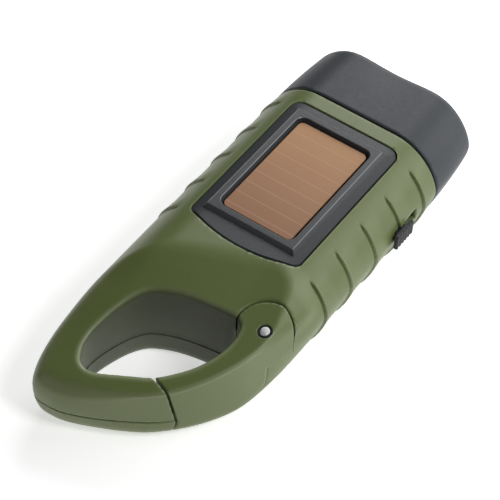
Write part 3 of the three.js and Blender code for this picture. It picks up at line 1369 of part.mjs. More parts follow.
// Circuit board above the crank, cut clear of the gate's wall and a screw boss
function makeMainBoard() {
  const x0 = MAIN_BOARD_X - MAIN_BOARD_LENGTH / 2;
  const x1 = MAIN_BOARD_X + MAIN_BOARD_LENGTH / 2;
  const halfWidth = MAIN_BOARD_WIDTH / 2;
  const gateClear = GATE_DISC_RADIUS + CLEARANCE + WALL + CLEARANCE;
  let board = block(x0, x1, -halfWidth, halfWidth, MAIN_BOARD_HEIGHT, MAIN_BOARD_HEIGHT + BOARD_THICKNESS);
  for (const [u, v, du, dv] of CHIP_SHARES) {
    const x = MAIN_BOARD_X + u * MAIN_BOARD_LENGTH;
    const y = v * MAIN_BOARD_WIDTH;
    board = board.add(block(
      x - du * MAIN_BOARD_LENGTH,
      x + du * MAIN_BOARD_LENGTH,
      y - dv * MAIN_BOARD_WIDTH,
      y + dv * MAIN_BOARD_WIDTH,
      MAIN_BOARD_HEIGHT + BOARD_THICKNESS / 2,
      MAIN_BOARD_HEIGHT + BOARD_THICKNESS + CHIP_HEIGHT,
    ));
  }
  const [bossX, bossY] = casePlaces()[2];
  board = board.subtract(post(gateClear, GATE_PIN_X, GATE_PIN_Y, 0, BODY_THICKNESS))
    .subtract(post(BOSS_RADIUS + CLEARANCE, bossX, bossY, 0, BODY_THICKNESS, FINE_SEGMENTS));
  place('main_board', board, 'board');
}

// Slide switch: the knob with its stem and slider, and the housing behind the wall
function makeSwitch() {
  const wall = -HALF_WIDTH;
  const stemHalf = STEM_LENGTH / 2;
  const inside = wall + WALL + CLEARANCE + SLIDER_STANDOFF;
  const knob = block(
    SWITCH_X - KNOB_LENGTH / 2,
    SWITCH_X + KNOB_LENGTH / 2,
    wall - KNOB_PROUD,
    wall - CLEARANCE - RIB_HEIGHT / 2,
    SWITCH_HEIGHT - KNOB_HEIGHT / 2,
    SWITCH_HEIGHT + KNOB_HEIGHT / 2,
  );
  const stem = block(
    SWITCH_X - stemHalf,
    SWITCH_X + stemHalf,
    wall - KNOB_PROUD / 2,
    inside + SLIDER_THICKNESS,
    SWITCH_HEIGHT - STEM_HEIGHT / 2,
    SWITCH_HEIGHT + STEM_HEIGHT / 2,
  );
  const slider = block(
    SWITCH_X - stemHalf - SLIDER_EDGE,
    SWITCH_X + stemHalf + SLIDER_EDGE,
    inside + CLEARANCE,
    inside + CLEARANCE + SLIDER_THICKNESS,
    SWITCH_HEIGHT - STEM_HEIGHT / 2 - SLIDER_EDGE / 2,
    SWITCH_HEIGHT + STEM_HEIGHT / 2 + SLIDER_EDGE / 2,
  );
  place('switch_button', knob.add(stem).add(slider), 'charcoal');
  const face = inside + CLEARANCE + SLIDER_THICKNESS + CLEARANCE;
  const middle = SWITCH_X + SWITCH_TRAVEL / 2;
  place('switch_housing', block(
    middle - SWITCH_BODY_LENGTH / 2,
    middle + SWITCH_BODY_LENGTH / 2,
    face,
    face + SWITCH_BODY_DEPTH,
    SWITCH_HEIGHT - SWITCH_BODY_HEIGHT / 2,
    SWITCH_HEIGHT + SWITCH_BODY_HEIGHT / 2,
  ), 'steel');
}

// Builds every piece
function build() {
  const outer = outerForm();
  const hole = loopHole();
  const form = bodyForm(outer, hole);
  const hollow = cavity();
  makeTopShell(form, hollow);
  makeBottomShell(form, hollow);
  makeGate(outer, hole);
  makeGatePin();
  makeGateSpring();
  makeCaseScrews();
  makeSolarPanel();
  makeHead();
  makeCrankDisc();
  makeCrankShaft();
  makeHandle();
  makeGearTrain();
  makeGearPlate();
  makePlateScrews();
  makeGenerator();
  makeMainBoard();
  makeBattery();
  makeSwitch();
}

build();

// The knob reaches further out than the ribs do: the footprint's middle is off the body's
flashlight.position.y = (KNOB_PROUD - RIB_HEIGHT) / 2;

export default flashlight;
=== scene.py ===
"""Finished look of a pocket flashlight with a solar panel, a crank and a snap loop.

Each operator makes one piece or one group of like pieces and puts it on the body that carries
it. Lengths are millimetres until a mesh is made.
"""

import math

import bmesh
import bpy
import numpy as np
from bpy.props import FloatProperty, FloatVectorProperty, IntProperty, PointerProperty
from mathutils import Matrix, Vector


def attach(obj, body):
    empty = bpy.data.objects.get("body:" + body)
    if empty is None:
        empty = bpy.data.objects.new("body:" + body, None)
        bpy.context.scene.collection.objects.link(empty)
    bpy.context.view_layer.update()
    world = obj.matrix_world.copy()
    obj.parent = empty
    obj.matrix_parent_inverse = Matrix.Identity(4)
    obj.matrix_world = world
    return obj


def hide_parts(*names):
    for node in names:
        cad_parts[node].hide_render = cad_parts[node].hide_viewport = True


bl_info = {
    "name": "Crank flashlight",
    "version": (1, 0, 0),
    "blender": (4, 5, 0),
    "location": "View3D > Sidebar > Flashlight",
    "description": "Dresses a hand crank flashlight with its solar panel and snap loop",
    "category": "Object",
}

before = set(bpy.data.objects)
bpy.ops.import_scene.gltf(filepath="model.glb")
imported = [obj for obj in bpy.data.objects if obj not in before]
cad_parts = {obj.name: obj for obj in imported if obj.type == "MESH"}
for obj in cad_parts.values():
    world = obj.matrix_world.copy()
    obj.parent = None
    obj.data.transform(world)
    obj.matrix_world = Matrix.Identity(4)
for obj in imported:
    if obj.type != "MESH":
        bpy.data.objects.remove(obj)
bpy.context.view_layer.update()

MM = 0.001
FLOOR_Z = -0.1

# The housing's own middle plane, and its main places along X
MIDDLE_Y = 0.7
TAIL_X = -68.5
FRONT_X = 68.5
JOINT_X = 47.5
SLOPE_X = -12.5
SLOPE = 0.25
# Turns a height over the slope into a distance from it
SLOPE_UNIT = 0.97
TOP_Z = 30.0
HALF_WIDTH = 27.0
WAIST_Z = 16.5
SEAM_Z = 7.5
SEAM_GAP = 0.3
SEAM_LIP = 0.2
RIB_GROOVE = 0.3
GATE_SWELL = 0.9
WALL = 2.0
NECK_END = 51
SIDE = 28
GAP = 0.3
TIGHT = 0.12

TOP_FLAT = 12.1
BOTTOM_FLAT = 17.0
TAIL_SHARES = [
    (0.4, 1.07), (0.53, 1.03), (0.635, 1.005), (0.728, 0.987), (0.826, 0.956), (0.925, 0.9),
    (0.979, 0.84), (0.998, 0.762), (1, 0.65), (0.994, 0.525), (0.97, 0.37), (0.912, 0.13),
    (0.835, -0.13), (0.762, -0.335), (0.685, -0.49), (0.58, -0.645), (0.445, -0.785),
    (0.28, -0.89), (0.13, -0.985), (0, -1.07),
]
# How far the wall stands in from that outline on the left of the tail: height, depth
LEFT_WALL = [
    (0.0, 4.2), (1.0, 2.6), (2.0, 1.8), (3.5, 1.1), (5.4, 0.6), (9.0, 0.1), (12.0, 0.0),
    (17.0, 0.2), (20.0, 0.8), (24.0, 2.1), (36.0, 7.6),
]
LOOP_MIDDLE = (-43.25, 0.65)
LOOP_HALF = (15.75, 15.85)
LOOP_SHARES = [
    (-0.968, 0.514), (-1, 0.703), (-0.937, 0.861), (-0.759, 0.968), (-0.517, 1),
    (-0.27, 0.975), (0.041, 0.899), (0.346, 0.785), (0.587, 0.621), (0.714, 0.426),
    (0.816, 0.186), (0.879, -0.041), (0.937, -0.356), (0.975, -0.64), (0.985, -0.82),
    (0.892, -0.95), (0.714, -1), (0.492, -0.994), (0.225, -0.918), (-0.079, -0.76),
    (-0.34, -0.546), (-0.562, -0.306), (-0.759, 0.073), (-0.905, 0.375),
]
NOSE = [(-6.0, 0.96), (3.0, 1.92), (7.0, 2.4), (13.8, 1.008), (19.2, 0.0), (36.0, 0.0)]

# Gate: pin, disc, and the lug that it turns on
PIN = (-27.5, -20.8)
DISC_RADIUS = 8.2
LUG_Z = 15.0
LUG_RADIUS = 3.3
PIN_LOW = 4.8
# Gap between the gate's tip and the tail: a place on it, and the way across it
TIP = (-52.4, -4.6)
TIP_ACROSS = (0.9536, -0.3011)

# Solar frame
PANEL_X = 17.0
BEZEL_HALF = (25.25, 16.8)
BEZEL_BOW = 2.8
BEZEL_SEAT = 28.3
RIDGE_HALF = (21.45, 13.4)
RIDGE_TOP = 31.3
CELL_HALF = (18.9, 10.8)
CELL_CORNER = 1.6
CELL_TOP = 30.2

# Rings of the frame that start a band with a painted highlight: the bevels of its ridge
PAINTED_HIGHLIGHT_LEVELS = (5, 7)

# Head: its lamps, and the parts inside the hood along X
LAMP_X = 49.9
LAMP_Y = 12
LAMP_Z = 15
HEAD_TAPER = 1.6
SADDLE_DIP = 0.7
HOOD_BACK = 48.15
HOOD_FIT = 2.4
LIP_X = 67.4
LIP_WIDTH = 3.3
LENS_BACK = 65.6
LENS_FRONT = 67.1
REFLECTOR_BACK = 51.9
REFLECTOR_FRONT = 65.3
REFLECTOR_DEPTH = 13.4

# Crank
CRANK_X = 8.0
CRANK_RADIUS = 19.0
CRANK_BOTTOM = 0.4
CRANK_TOP = 9.4
CUP_RADIUS = 19.4
CUP_CEILING = 9.8
CUP_TOP = 11.6
SHAFT_HOLE = 2.1
HINGE_X = 22
HINGE_Z = 4

SCREWS = [(40.9, 15.9), (40.9, -15.9), (-20.4, 17.82), (-57.4, 20.385)]
SCREW_PAD = 3.1
SCREW_HEAD_HOLE = 2.5
SCREW_SHANK_HOLE = 1.4
SCREW_BOSS = 3
SMALL_POST = 1.9
PLATE_POSTS = [(8.0, 19.57), (8.38, -19.57), (40.49, 2.66)]
BOARD_POSTS = [(-1.5, 17.48), (-1.5, -17.48), (-18.6, -7.98)]
AXLES = [(24.383, 11.472), (27.491, -4.224)]


# Stage, in metres: each light's place and size, and the camera's place and axes
LIGHT_TARGET = (0, 0, 0.01)
LIGHTS = {
    "key": ((0.5, -0.4, 0.3), 0.5), "back": ((0.62, 0.16, 0.45), 0.45),
    "top": ((0.0, -0.42, 0.54), 0.2), "rim": ((-0.5, 0.24, 0.37), 0.3),
}
FLOOR_HALF = 3
CAMERA_LENS = 164.44
CAMERA_PLACE = (-0.34044, -0.20285, 0.47549)
CAMERA_RIGHT = (0.56706313, -0.82202195, 0.05214703)
CAMERA_UP = (0.60397727, 0.45802421, 0.65224634)
CAMERA_BACK = (-0.56004541, -0.33836923, 0.75621121)


def linear(code):
    """Turns an sRGB hex value into linear colour."""
    parts = [int(code[i:i + 2], 16) / 255 for i in (1, 3, 5)]
    return tuple(c / 12.92 if c <= 0.04045 else ((c + 0.055) / 1.055) ** 2.4 for c in parts)


def add_node(tree, kind, values=None, links=None, **settings):
    """Adds one node, sets its fields and sockets, and links its inputs."""
    made = tree.nodes.new(kind)
    for key, value in settings.items():
        setattr(made, key, value)
    for key, value in (values or {}).items():
        made.inputs[key].default_value = value
    for key, source in (links or {}).items():
        tree.links.new(source, made.inputs[key])
    return made


# Solids described by signed distance: negative inside, millimetres


def soft_max(a, b, radius):
    """Larger of two distances, with the edge between them rounded."""
    near = np.maximum(radius - np.abs(a - b), 0) / radius
    return np.maximum(a, b) + near * near * radius / 4


def soft_min(a, b, radius):
    """Smaller of two distances, with the corner between them filled."""
    return -soft_max(-a, -b, radius)


def path_through(points, closed, steps=8):
    """Centripetal curve through points."""
    given = np.array(points, float)
    if closed:
        padded = np.vstack([given[-1:], given, given[:2]])
    else:
        padded = np.vstack([2 * given[0] - given[1], given, 2 * given[-1] - given[-2]])
    t = np.linspace(0, 1, steps, endpoint=False)[:, None]
    pieces = []
    for i in range(len(padded) - 3):
        p0, p1, p2, p3 = padded[i:i + 4]
        d0, d1, d2 = (np.sqrt(np.linalg.norm(q - p)) for p, q in ((p0, p1), (p1, p2), (p2, p3)))
        start = ((p1 - p0) / d0 - (p2 - p0) / (d0 + d1) + (p2 - p1) / d1) * d1
        end = ((p2 - p1) / d1 - (p3 - p1) / (d1 + d2) + (p3 - p2) / d2) * d1
        pieces.append(
            (2 * t**3 - 3 * t**2 + 1) * p1 + (t**3 - 2 * t**2 + t) * start
            + (3 * t**2 - 2 * t**3) * p2 + (t**3 - t**2) * end
        )
    if not closed:
        pieces.append(given[-1:])
    return np.vstack(pieces)


def bezier(p0, p1, p2, p3, steps=24):
    """Cubic curve between two points."""
    t = np.linspace(0, 1, steps)[:, None]
    corners = [np.array(p, float) for p in (p0, p1, p2, p3)]
    weights = ((1 - t)**3, 3 * t * (1 - t)**2, 3 * t**2 * (1 - t), t**3)
    return sum(w * p for w, p in zip(weights, corners))


def outline_distance(outline, u, v):
    """Signed distance of points to a closed flat outline."""
    nearest = np.full(u.shape, 1e12)
    inside = np.zeros(u.shape, bool)
    for (au, av), (bu, bv) in zip(outline, np.roll(outline, -1, axis=0)):
        eu, ev = bu - au, bv - av
        wu, wv = u - au, v - av
        length = eu * eu + ev * ev
        if length == 0:
            continue
        t = np.clip((wu * eu + wv * ev) / length, 0, 1)
        nearest = np.minimum(nearest, (wu - eu * t)**2 + (wv - ev * t)**2)
        crosses = (av <= v) != (bv <= v)
        if ev != 0:
            inside ^= crosses & (wu < eu * wv / ev)
    return np.where(inside, -1, 1) * np.sqrt(nearest)


class Chart:
    """Distances to a flat outline, kept on a fine grid for quick reading."""

    def __init__(self, outline, low, high, step=0.2):
        self.low = np.array(low, float)
        self.step = step
        u = np.arange(low[0], high[0] + step, step)
        v = np.arange(low[1], high[1] + step, step)
        self.table = outline_distance(np.array(outline, float), *np.meshgrid(u, v, indexing="ij"))

    def __call__(self, u, v):
        rows, columns = self.table.shape
        a = np.clip((u - self.low[0]) / self.step, 0, rows - 1.001)
        b = np.clip((v - self.low[1]) / self.step, 0, columns - 1.001)
        i, j = a.astype(int), b.astype(int)
        a, b = a - i, b - j
        table = self.table
        near = table[i, j] * (1 - b) + table[i, j + 1] * b
        far = table[i + 1, j] * (1 - b) + table[i + 1, j + 1] * b
        return near * (1 - a) + far * a


def section_outline():
    """Cross section of the housing as [y, z]."""
    upper = bezier(
        (TOP_FLAT, TOP_Z), (TOP_FLAT + 0.66 * (HALF_WIDTH - TOP_FLAT), TOP_Z),
        (HALF_WIDTH, WAIST_Z + 0.28 * (TOP_Z - WAIST_Z)), (HALF_WIDTH, WAIST_Z),
    )
    lower = bezier(
        (HALF_WIDTH, WAIST_Z), (HALF_WIDTH, WAIST_Z * 0.85),
        (BOTTOM_FLAT + 0.63 * (HALF_WIDTH - BOTTOM_FLAT), 0), (BOTTOM_FLAT, 0),
    )
    right = np.vstack([upper, lower[1:]])
    return np.vstack([right, (right * [-1, 1])[::-1]])


def plan_outline():
    """Outline of the body from above: straight flanks and the round tail."""
    tail = path_through([(SLOPE_X - u * 56, v * HALF_WIDTH) for u, v in TAIL_SHARES], False)
    return np.vstack([[(80, 29.7)], tail, [(80, -29.7)]])


def loop_outline():
    """Outline of the loop's hole from above."""
    points = [
        (LOOP_MIDDLE[0] + u * LOOP_HALF[0], LOOP_MIDDLE[1] + v * LOOP_HALF[1])
        for u, v in LOOP_SHARES
    ]
    return path_through(points, True)


def arm_outline(start, end):
    """Region of the gate's arm from above, between two angles about the pin."""
    def at(degrees):
        angle = math.radians(degrees)
        return PIN[0] + 11.89 * math.cos(angle), PIN[1] + 11.89 * math.sin(angle)
    return [
        PIN, at(start), (-49.55, LOOP_MIDDLE[1]), (TAIL_X - 5.6, -10.8), (TAIL_X, -54),
        (PIN[0] - 1.64, -54), at(end),
    ]


def corner_arc(x, y, radius, start, end):
    """Points on a corner of an outline, from one angle to another."""
    angles = np.linspace(start, end, 9)[:, None]
    return np.hstack([x + radius * np.cos(angles), y + radius * np.sin(angles)])


def frame_ring(half_x, half_y, corner, bow=0.0):
    """Closed outline about the panel's middle: a rectangle with round corners, whose tail end
    can bow out; it has the same number of points for all sizes."""
    tail, head, side = PANEL_X - half_x + corner, PANEL_X + half_x - corner, half_y - corner
    turn = math.atan2(2 * bow, side)
    t = np.linspace(0, 1, 24)[1:-1, None]
    first = corner_arc(tail, side, corner, math.pi / 2, math.pi - turn)
    third = corner_arc(tail, -side, corner, math.pi + turn, 1.5 * math.pi)
    fourth = corner_arc(head, -side, corner, 1.5 * math.pi, 2 * math.pi)
    last = corner_arc(head, side, corner, 0, math.pi / 2)
    peak = np.array([PANEL_X - half_x - 2 * bow, 0])
    bowed = (1 - t)**2 * first[-1] + 2 * t * (1 - t) * peak + t * t * third[0]
    straight = fourth[-1] + t * (last[0] - fourth[-1])
    return np.vstack([first, bowed, third, fourth, straight, last])


def bezel_outline(grow):
    """Outline of the solar frame from above, bowed toward the tail."""
    return frame_ring(BEZEL_HALF[0] + grow, BEZEL_HALF[1] + grow, 2.5 + grow, BEZEL_BOW)


PLAN_AREA = ((-76, -34), (84, 34))
LEFT_PROFILE = path_through(LEFT_WALL, False)
SECTION = Chart(section_outline(), (-34, -6), (34, 38), 0.1)
PLAN = Chart(plan_outline(), *PLAN_AREA)
LOOP = Chart(loop_outline(), *PLAN_AREA)
ARM_TOP = Chart(arm_outline(95, 262), *PLAN_AREA)
ARM_GATE = Chart(arm_outline(106, 236), *PLAN_AREA)
ARM_ROOM = Chart(arm_outline(95, 239), *PLAN_AREA)
ARM_SWEEP = Chart(arm_outline(78, 239), *PLAN_AREA)
BEZEL = Chart(bezel_outline(0), (-14, -20), (48, 20), 0.1)


def box_distance(x, y, z, low, high):
    """Distance to a box between two corners."""
    sides = [np.maximum(a - p, p - b) for p, a, b in zip((x, y, z), low, high)]
    return np.maximum(np.maximum(sides[0], sides[1]), sides[2])


def post_distance(x, y, z, place, radius, low, high):
    """Distance to an upright cylinder."""
    around = np.hypot(x - place[0], y - place[1]) - radius
    return np.maximum(around, np.maximum(low - z, z - high))


def rib_rise(x, z, height):
    """How far the gill ribs stand proud: a steep step toward the tail with a fine groove at
    its foot, fading to the head."""
    rise = np.zeros(np.shape(x))
    for place in np.arange(-7.3, 42, 12.1):
        along = x - place
        step = np.clip(1 + along / 0.3, 0, 1) * np.clip(1 - along / 6, 0, 1)**1.4
        groove = np.clip(np.minimum(1.5 + along / 0.7, -along / 0.3), 0, 1)
        rise = rise + height * step - RIB_GROOVE * groove
    fade = np.clip((27.2 - z) / 1.4, 0, 1) * np.clip((z - 0.6) / 2.5, 0, 1)
    return rise * fade * (height > 0)


def smooth(value):
    """Share that eases from 0 to 1."""
    share = np.clip(value, 0, 1)
    return share * share * (3 - 2 * share)


def outer_form(x, y, z, ribs=0.5, lip=0.0):
    """Outer form of the body with the loop's hole. The left of the tail is a round barrel;
    the right side and the tip are upright walls with a crisp upper edge. The crease where
    the top turns down to the slope runs askew, farther back on the left."""
    left = smooth((y + 6) / 18)
    swell = smooth((-y - 8) / 9) * smooth((-6 - x) / 9) * smooth((z - 19) / 5)
    flank = SECTION(y, z) - rib_rise(x, z, ribs) - GATE_SWELL * swell
    round_foot = 4.6 + 2.2 * smooth((-y - 4) / 8)
    tip_depth = round_foot * (1 - np.sqrt(1 - np.clip((5.4 - z) / 5.4, 0, 1)**2))
    left_depth = np.interp(z, LEFT_PROFILE[:, 0], LEFT_PROFILE[:, 1])
    depth = tip_depth + left * (left_depth - tip_depth)
    walls = soft_max(flank, PLAN(x, y) + depth, 2.2)
    run = SLOPE_X - x
    across = np.clip(y + 11, 0, 27)
    crease = (0.32 * across + 0.006 * across**2 - 1.8) * (1 - smooth(run / 46))
    slope = (z - TOP_Z + SLOPE * (run - crease)) * SLOPE_UNIT
    edge = 0.8 + 4.1 * left * smooth((-22 - x) / 16)
    hole = LOOP(x, y) + lip
    body = soft_max(soft_max(walls, slope, edge), -hole, 1.4 + 1.8 * smooth((10 - z) / 8))
    pad = post_distance(x, y, z, SCREWS[3], SCREW_PAD, 0, 5)
    return np.maximum(soft_min(body, pad, 3.0), -z)


def tip_side(x, y, z, shift):
    """Negative on the gate's side of the gap at its tip."""
    along = (x - TIP[0]) * TIP_ACROSS[0] + (y - TIP[1]) * TIP_ACROSS[1]
    heights, reaches = zip(*NOSE)
    return (np.interp(z, heights, reaches) + shift - along) * 0.93


def gate_space(x, y, z):
    """Space that the gate fills."""
    around = np.hypot(x - PIN[0], y - PIN[1])
    upper = np.maximum(np.minimum(around - DISC_RADIUS, ARM_TOP(x, y)), LUG_Z - z)
    lower = np.maximum(ARM_GATE(x, y), LUG_RADIUS + TIGHT - around)
    lower = np.maximum(lower, z - LUG_Z - 3)
    return np.maximum(np.minimum(upper, lower), tip_side(x, y, z, GAP))


def gate_openness(x, z):
    """Share that tells how open the joint round the gate is: tight low on the disc, open
    high on it and at the tip."""
    return np.maximum(smooth((z - 19.5) / 2), smooth((-38 - x) / 4))


def gate_room(x, y, z):
    """Room that the body leaves for the gate, also when it swings in."""
    around = np.hypot(x - PIN[0], y - PIN[1])
    ledge = LUG_Z - TIGHT
    disc = around - DISC_RADIUS - TIGHT - 0.38 * gate_openness(x, z)
    upper = np.maximum(np.minimum(disc, ARM_TOP(x, y)), ledge - z)
    lower = np.minimum(ARM_ROOM(x, y), np.maximum(ARM_SWEEP(x, y), disc))
    lower = np.maximum(np.maximum(lower, z - ledge - 3), LUG_RADIUS - around)
    return np.maximum(np.minimum(upper, lower), tip_side(x, y, z, -GAP))


def hollow(x, y, z):
    """Hollow of the body."""
    around = np.hypot(x - PIN[0], y - PIN[1])
    inner = np.maximum(SECTION(y, z) + WALL, x - (JOINT_X - WALL))
    spigot = np.maximum(SECTION(y, z) + 3.8, (JOINT_X - 2 * WALL) - x)
    slope = (z - TOP_Z + WALL + SLOPE * (SLOPE_X - x)) * SLOPE_UNIT
    limits = np.maximum(np.maximum(z - 26.9, -24 - x), np.maximum(slope, 10.5 - around))
    return np.maximum(np.minimum(inner, spigot), limits)


def shell_form(x, y, z, lip=0.0):
    """Both halves of the body as one, with the neck that carries the head."""
    body = soft_max(outer_form(x, y, z, lip=lip), x - JOINT_X, 0.7)
    body = soft_max(body, -gate_room(x, y, z), 0.15 + 0.45 * gate_openness(x, z))
    neck = np.maximum(SECTION(y, z) + 2.3, np.maximum(JOINT_X - WALL - x, x - NECK_END))
    pin = post_distance(x, y, z, PIN, 1.35, PIN_LOW - GAP, 40)
    return np.maximum(np.maximum(np.minimum(body, neck), -hollow(x, y, z)), -pin)


def seam(x, y):
    """Half of the seam's gap and the rounding of its edges. In the loop the lower half stands
    a little proud and the upper one laps behind it, so no gap shows."""
    share = smooth((LOOP(x, y) - 1.5) / 2)
    return share * (SEAM_GAP / 2 + 0.2) - 0.2, 0.06 + 0.34 * share


def top_form(x, y, z):
    """Upper half of the housing."""
    gap, edge = seam(x, y)
    shell = soft_max(shell_form(x, y, z), SEAM_Z + gap - z, edge)
    inner = np.maximum(SECTION(y, z) + 1, (z - TOP_Z + 1 + SLOPE * (SLOPE_X - x)) * SLOPE_UNIT)
    for place in SCREWS[:3]:
        boss = post_distance(x, y, z, place, SCREW_BOSS, SEAM_Z + SEAM_GAP / 2, 27)
        shell = np.minimum(shell, np.maximum(boss, inner))
    for place in SCREWS:
        shell = np.maximum(shell, -post_distance(x, y, z, place, SCREW_SHANK_HOLE, -5, 14.5))
    pocket = np.maximum(BEZEL(x, y) - 1.4 * GAP, BEZEL_SEAT - GAP - z)
    shell = soft_max(shell, -pocket, 0.3)
    slot = box_distance(x, y, z, (26.3, -40, 15.2), (37.2, -23, 18.8))
    return soft_max(shell, -slot, 0.4)


def bottom_form(x, y, z):
    """Lower half of the housing, with the crank's cup, the posts and the screw holes."""
    gap, edge = seam(x, y)
    shell = soft_max(shell_form(x, y, z, SEAM_LIP), z - SEAM_Z + gap, edge)
    inner = SECTION(y, z) + 1
    cup = post_distance(x, y, z, (CRANK_X, 0), CUP_RADIUS + 2.4, CRANK_BOTTOM, CUP_TOP)
    for place in SCREWS[:3]:
        cup = np.minimum(cup, post_distance(x, y, z, place, SCREW_BOSS, 1, SEAM_Z - SEAM_GAP / 2))
    for places, top in ((PLATE_POSTS, 19.6), (BOARD_POSTS, 15.1)):
        for place in places:
            cup = np.minimum(cup, post_distance(x, y, z, place, SMALL_POST, 1, top))
    shell = np.minimum(shell, np.maximum(cup, inner))
    well = post_distance(x, y, z, (CRANK_X, 0), CUP_RADIUS, -5, CUP_CEILING)
    shell = soft_max(shell, -well, 0.9)
    shell = np.maximum(shell, -post_distance(x, y, z, (CRANK_X, 0), 3.7, CRANK_TOP, 40))
    for place in AXLES:
        shell = np.maximum(shell, -post_distance(x, y, z, place, 1.1, CUP_TOP - 1.3, 40))
    for place in PLATE_POSTS:
        shell = np.maximum(shell, -post_distance(x, y, z, place, 0.8, 14.7, 40))
    for place in SCREWS:
        head = post_distance(x, y, z, place, SCREW_HEAD_HOLE, -5, 2.4)
        shell = soft_max(shell, -head, 0.4)
        shell = np.maximum(shell, -post_distance(x, y, z, place, SCREW_SHANK_HOLE, -5, 30))
    return shell


def gate_form(x, y, z):
    """The gate: a disc round the pin and an arm to the tail's tip."""
    edge = 0.15 + 0.25 * gate_openness(x, z)
    solid = soft_max(outer_form(x, y, z, 0), gate_space(x, y, z), edge)
    hole = post_distance(x, y, z, PIN, 1.95, -5, 40)
    pocket = post_distance(x, y, z, PIN, 2.5, -5, LUG_Z + 4.4)
    return np.maximum(soft_max(solid, -hole, 0.25), -pocket)


def head_wall(x, y, z):
    """Wall of the head: a little narrower at its front, with a saddle between its lamps."""
    share = np.clip((x - JOINT_X) / (FRONT_X - JOINT_X), 0, 1)
    middle = np.where(np.abs(y) < LAMP_Y, 0.5 + 0.5 * np.cos(np.pi * y / LAMP_Y), 0)
    dip = SADDLE_DIP * share**2 * middle
    away = np.clip(np.abs(z - LAMP_Z) / LAMP_Z, 0, 1)
    narrow = 1 - HEAD_TAPER * share**2 / HALF_WIDTH
    moved = z + np.sign(z - LAMP_Z) * dip * away
    return SECTION(y / narrow, moved)


def head_outer(x, y, z):
    """Outer form of the head with its round front edge."""
    return soft_max(head_wall(x, y, z), x - FRONT_X, 2.0)


def hood_form(x, y, z):
    """Hood: a sleeve with a lip that holds the lens."""
    outer = head_outer(x, y, z)
    straight = head_wall(np.minimum(x, 66), y, z)
    opening = np.minimum(np.maximum(straight + WALL, x - LIP_X), straight + LIP_WIDTH)
    solid = soft_max(outer, -opening, 0.6)
    return soft_max(solid, HOOD_BACK - x, 0.5)


def lens_form(x, y, z):
    """Clear front plate."""
    straight = head_wall(np.minimum(x, 66), y, z)
    return soft_max(straight + HOOD_FIT, np.maximum(LENS_BACK - x, x - LENS_FRONT), 0.4)


def reflector_form(x, y, z):
    """Two polished cups in one moulding."""
    straight = head_wall(np.minimum(x, 62), y, z)
    ends = np.maximum(REFLECTOR_BACK - x, x - REFLECTOR_FRONT)
    solid = np.maximum(straight + HOOD_FIT, ends)
    height = x - REFLECTOR_BACK
    for middle in (-LAMP_Y, LAMP_Y):
        around = np.hypot(y - middle, z - LAMP_Z)
        bowl = np.sqrt(np.maximum(height, 0) / REFLECTOR_DEPTH) * 8 + 2.8
        solid = soft_max(solid, -(around - bowl) * 0.8, 0.4)
    return solid


def roof_height(y):
    """Height of the housing's section over its middle plane."""
    upper = section_outline()[:24]
    return np.interp(np.abs(y), upper[:, 0], upper[:, 1])


def panel_ring(outline, height):
    """Ring of the panel's frame at a height, or that far below the housing's roof if negative."""
    level = height + 0 * outline[:, 1] if height > 0 else roof_height(outline[:, 1]) + height
    return np.column_stack([outline, level])


def bezel_rings():
    """Rings of the solar frame: plinth, ridge with bevelled edges, funnel to the cell, seat."""
    ridge_x, ridge_y = RIDGE_HALF
    cell_x, cell_y = CELL_HALF

    def ridge(grow, height):
        return panel_ring(frame_ring(ridge_x + grow, ridge_y + grow, 0.12), height)

    def opening(grow, height):
        return panel_ring(frame_ring(cell_x + grow, cell_y + grow, CELL_CORNER + grow), height)

    return [
        panel_ring(bezel_outline(0), BEZEL_SEAT),
        panel_ring(bezel_outline(0), -0.3), panel_ring(bezel_outline(-0.25), -1e-3),
        ridge(2.0, -1e-3), ridge(1.04, -1e-3), ridge(0.12, RIDGE_TOP - 0.16),
        ridge(-0.08, RIDGE_TOP), opening(1.1, RIDGE_TOP), opening(0.9, RIDGE_TOP - 0.16),
        opening(GAP, 29.65), opening(GAP, BEZEL_SEAT),
    ]


def cell_rings():
    """Rings of the solar cell under its clear resin."""
    def ring(grow, height):
        outline = frame_ring(CELL_HALF[0] + grow, CELL_HALF[1] + grow, CELL_CORNER + grow)
        return panel_ring(outline, height)
    return [ring(-0.1, 29.1), ring(0, 29.2), ring(0, CELL_TOP - 0.1), ring(-0.1, CELL_TOP)]


def crank_form(x, y, z):
    """Crank plate with the groove that its handle folds into, and a hollow for a finger."""
    around = np.hypot(x - CRANK_X, y)
    plate = soft_max(around - CRANK_RADIUS, CRANK_BOTTOM - z, 2.2)
    plate = soft_max(plate, z - CRANK_TOP, 0.4)
    groove = box_distance(x, y, z, (CRANK_X - 17.6, -4.3, -5), (CRANK_X + 17.6, 4.3, 7.6))
    plate = soft_max(plate, -groove, 0.7)
    notch = np.hypot(x + 3.3, y) - 7
    plate = soft_max(plate, -soft_max(notch, z - 4.2, 1.5), 0.7)
    shaft = post_distance(x, y, z, (CRANK_X, 0), SHAFT_HOLE, 0, 30)
    pin = np.maximum(np.hypot(x - HINGE_X, z - HINGE_Z) - 1.1, np.abs(y) - 6.6)
    return np.maximum(np.maximum(plate, -shaft), -pin)


def handle_form(x, y, z):
    """Fold-out handle: a barrel on the hinge pin and the spindle of the grip."""
    hinge = np.hypot(x - HINGE_X, z - HINGE_Z)
    hub = soft_max(hinge - 3.3, np.abs(y) - 4, 0.7)
    spindle = np.maximum(np.hypot(y, z - HINGE_Z) - 1.5, np.maximum(-8.3 - x, x - HINGE_X))
    return np.maximum(soft_min(hub, spindle, 0.8), -(hinge - 1.3))


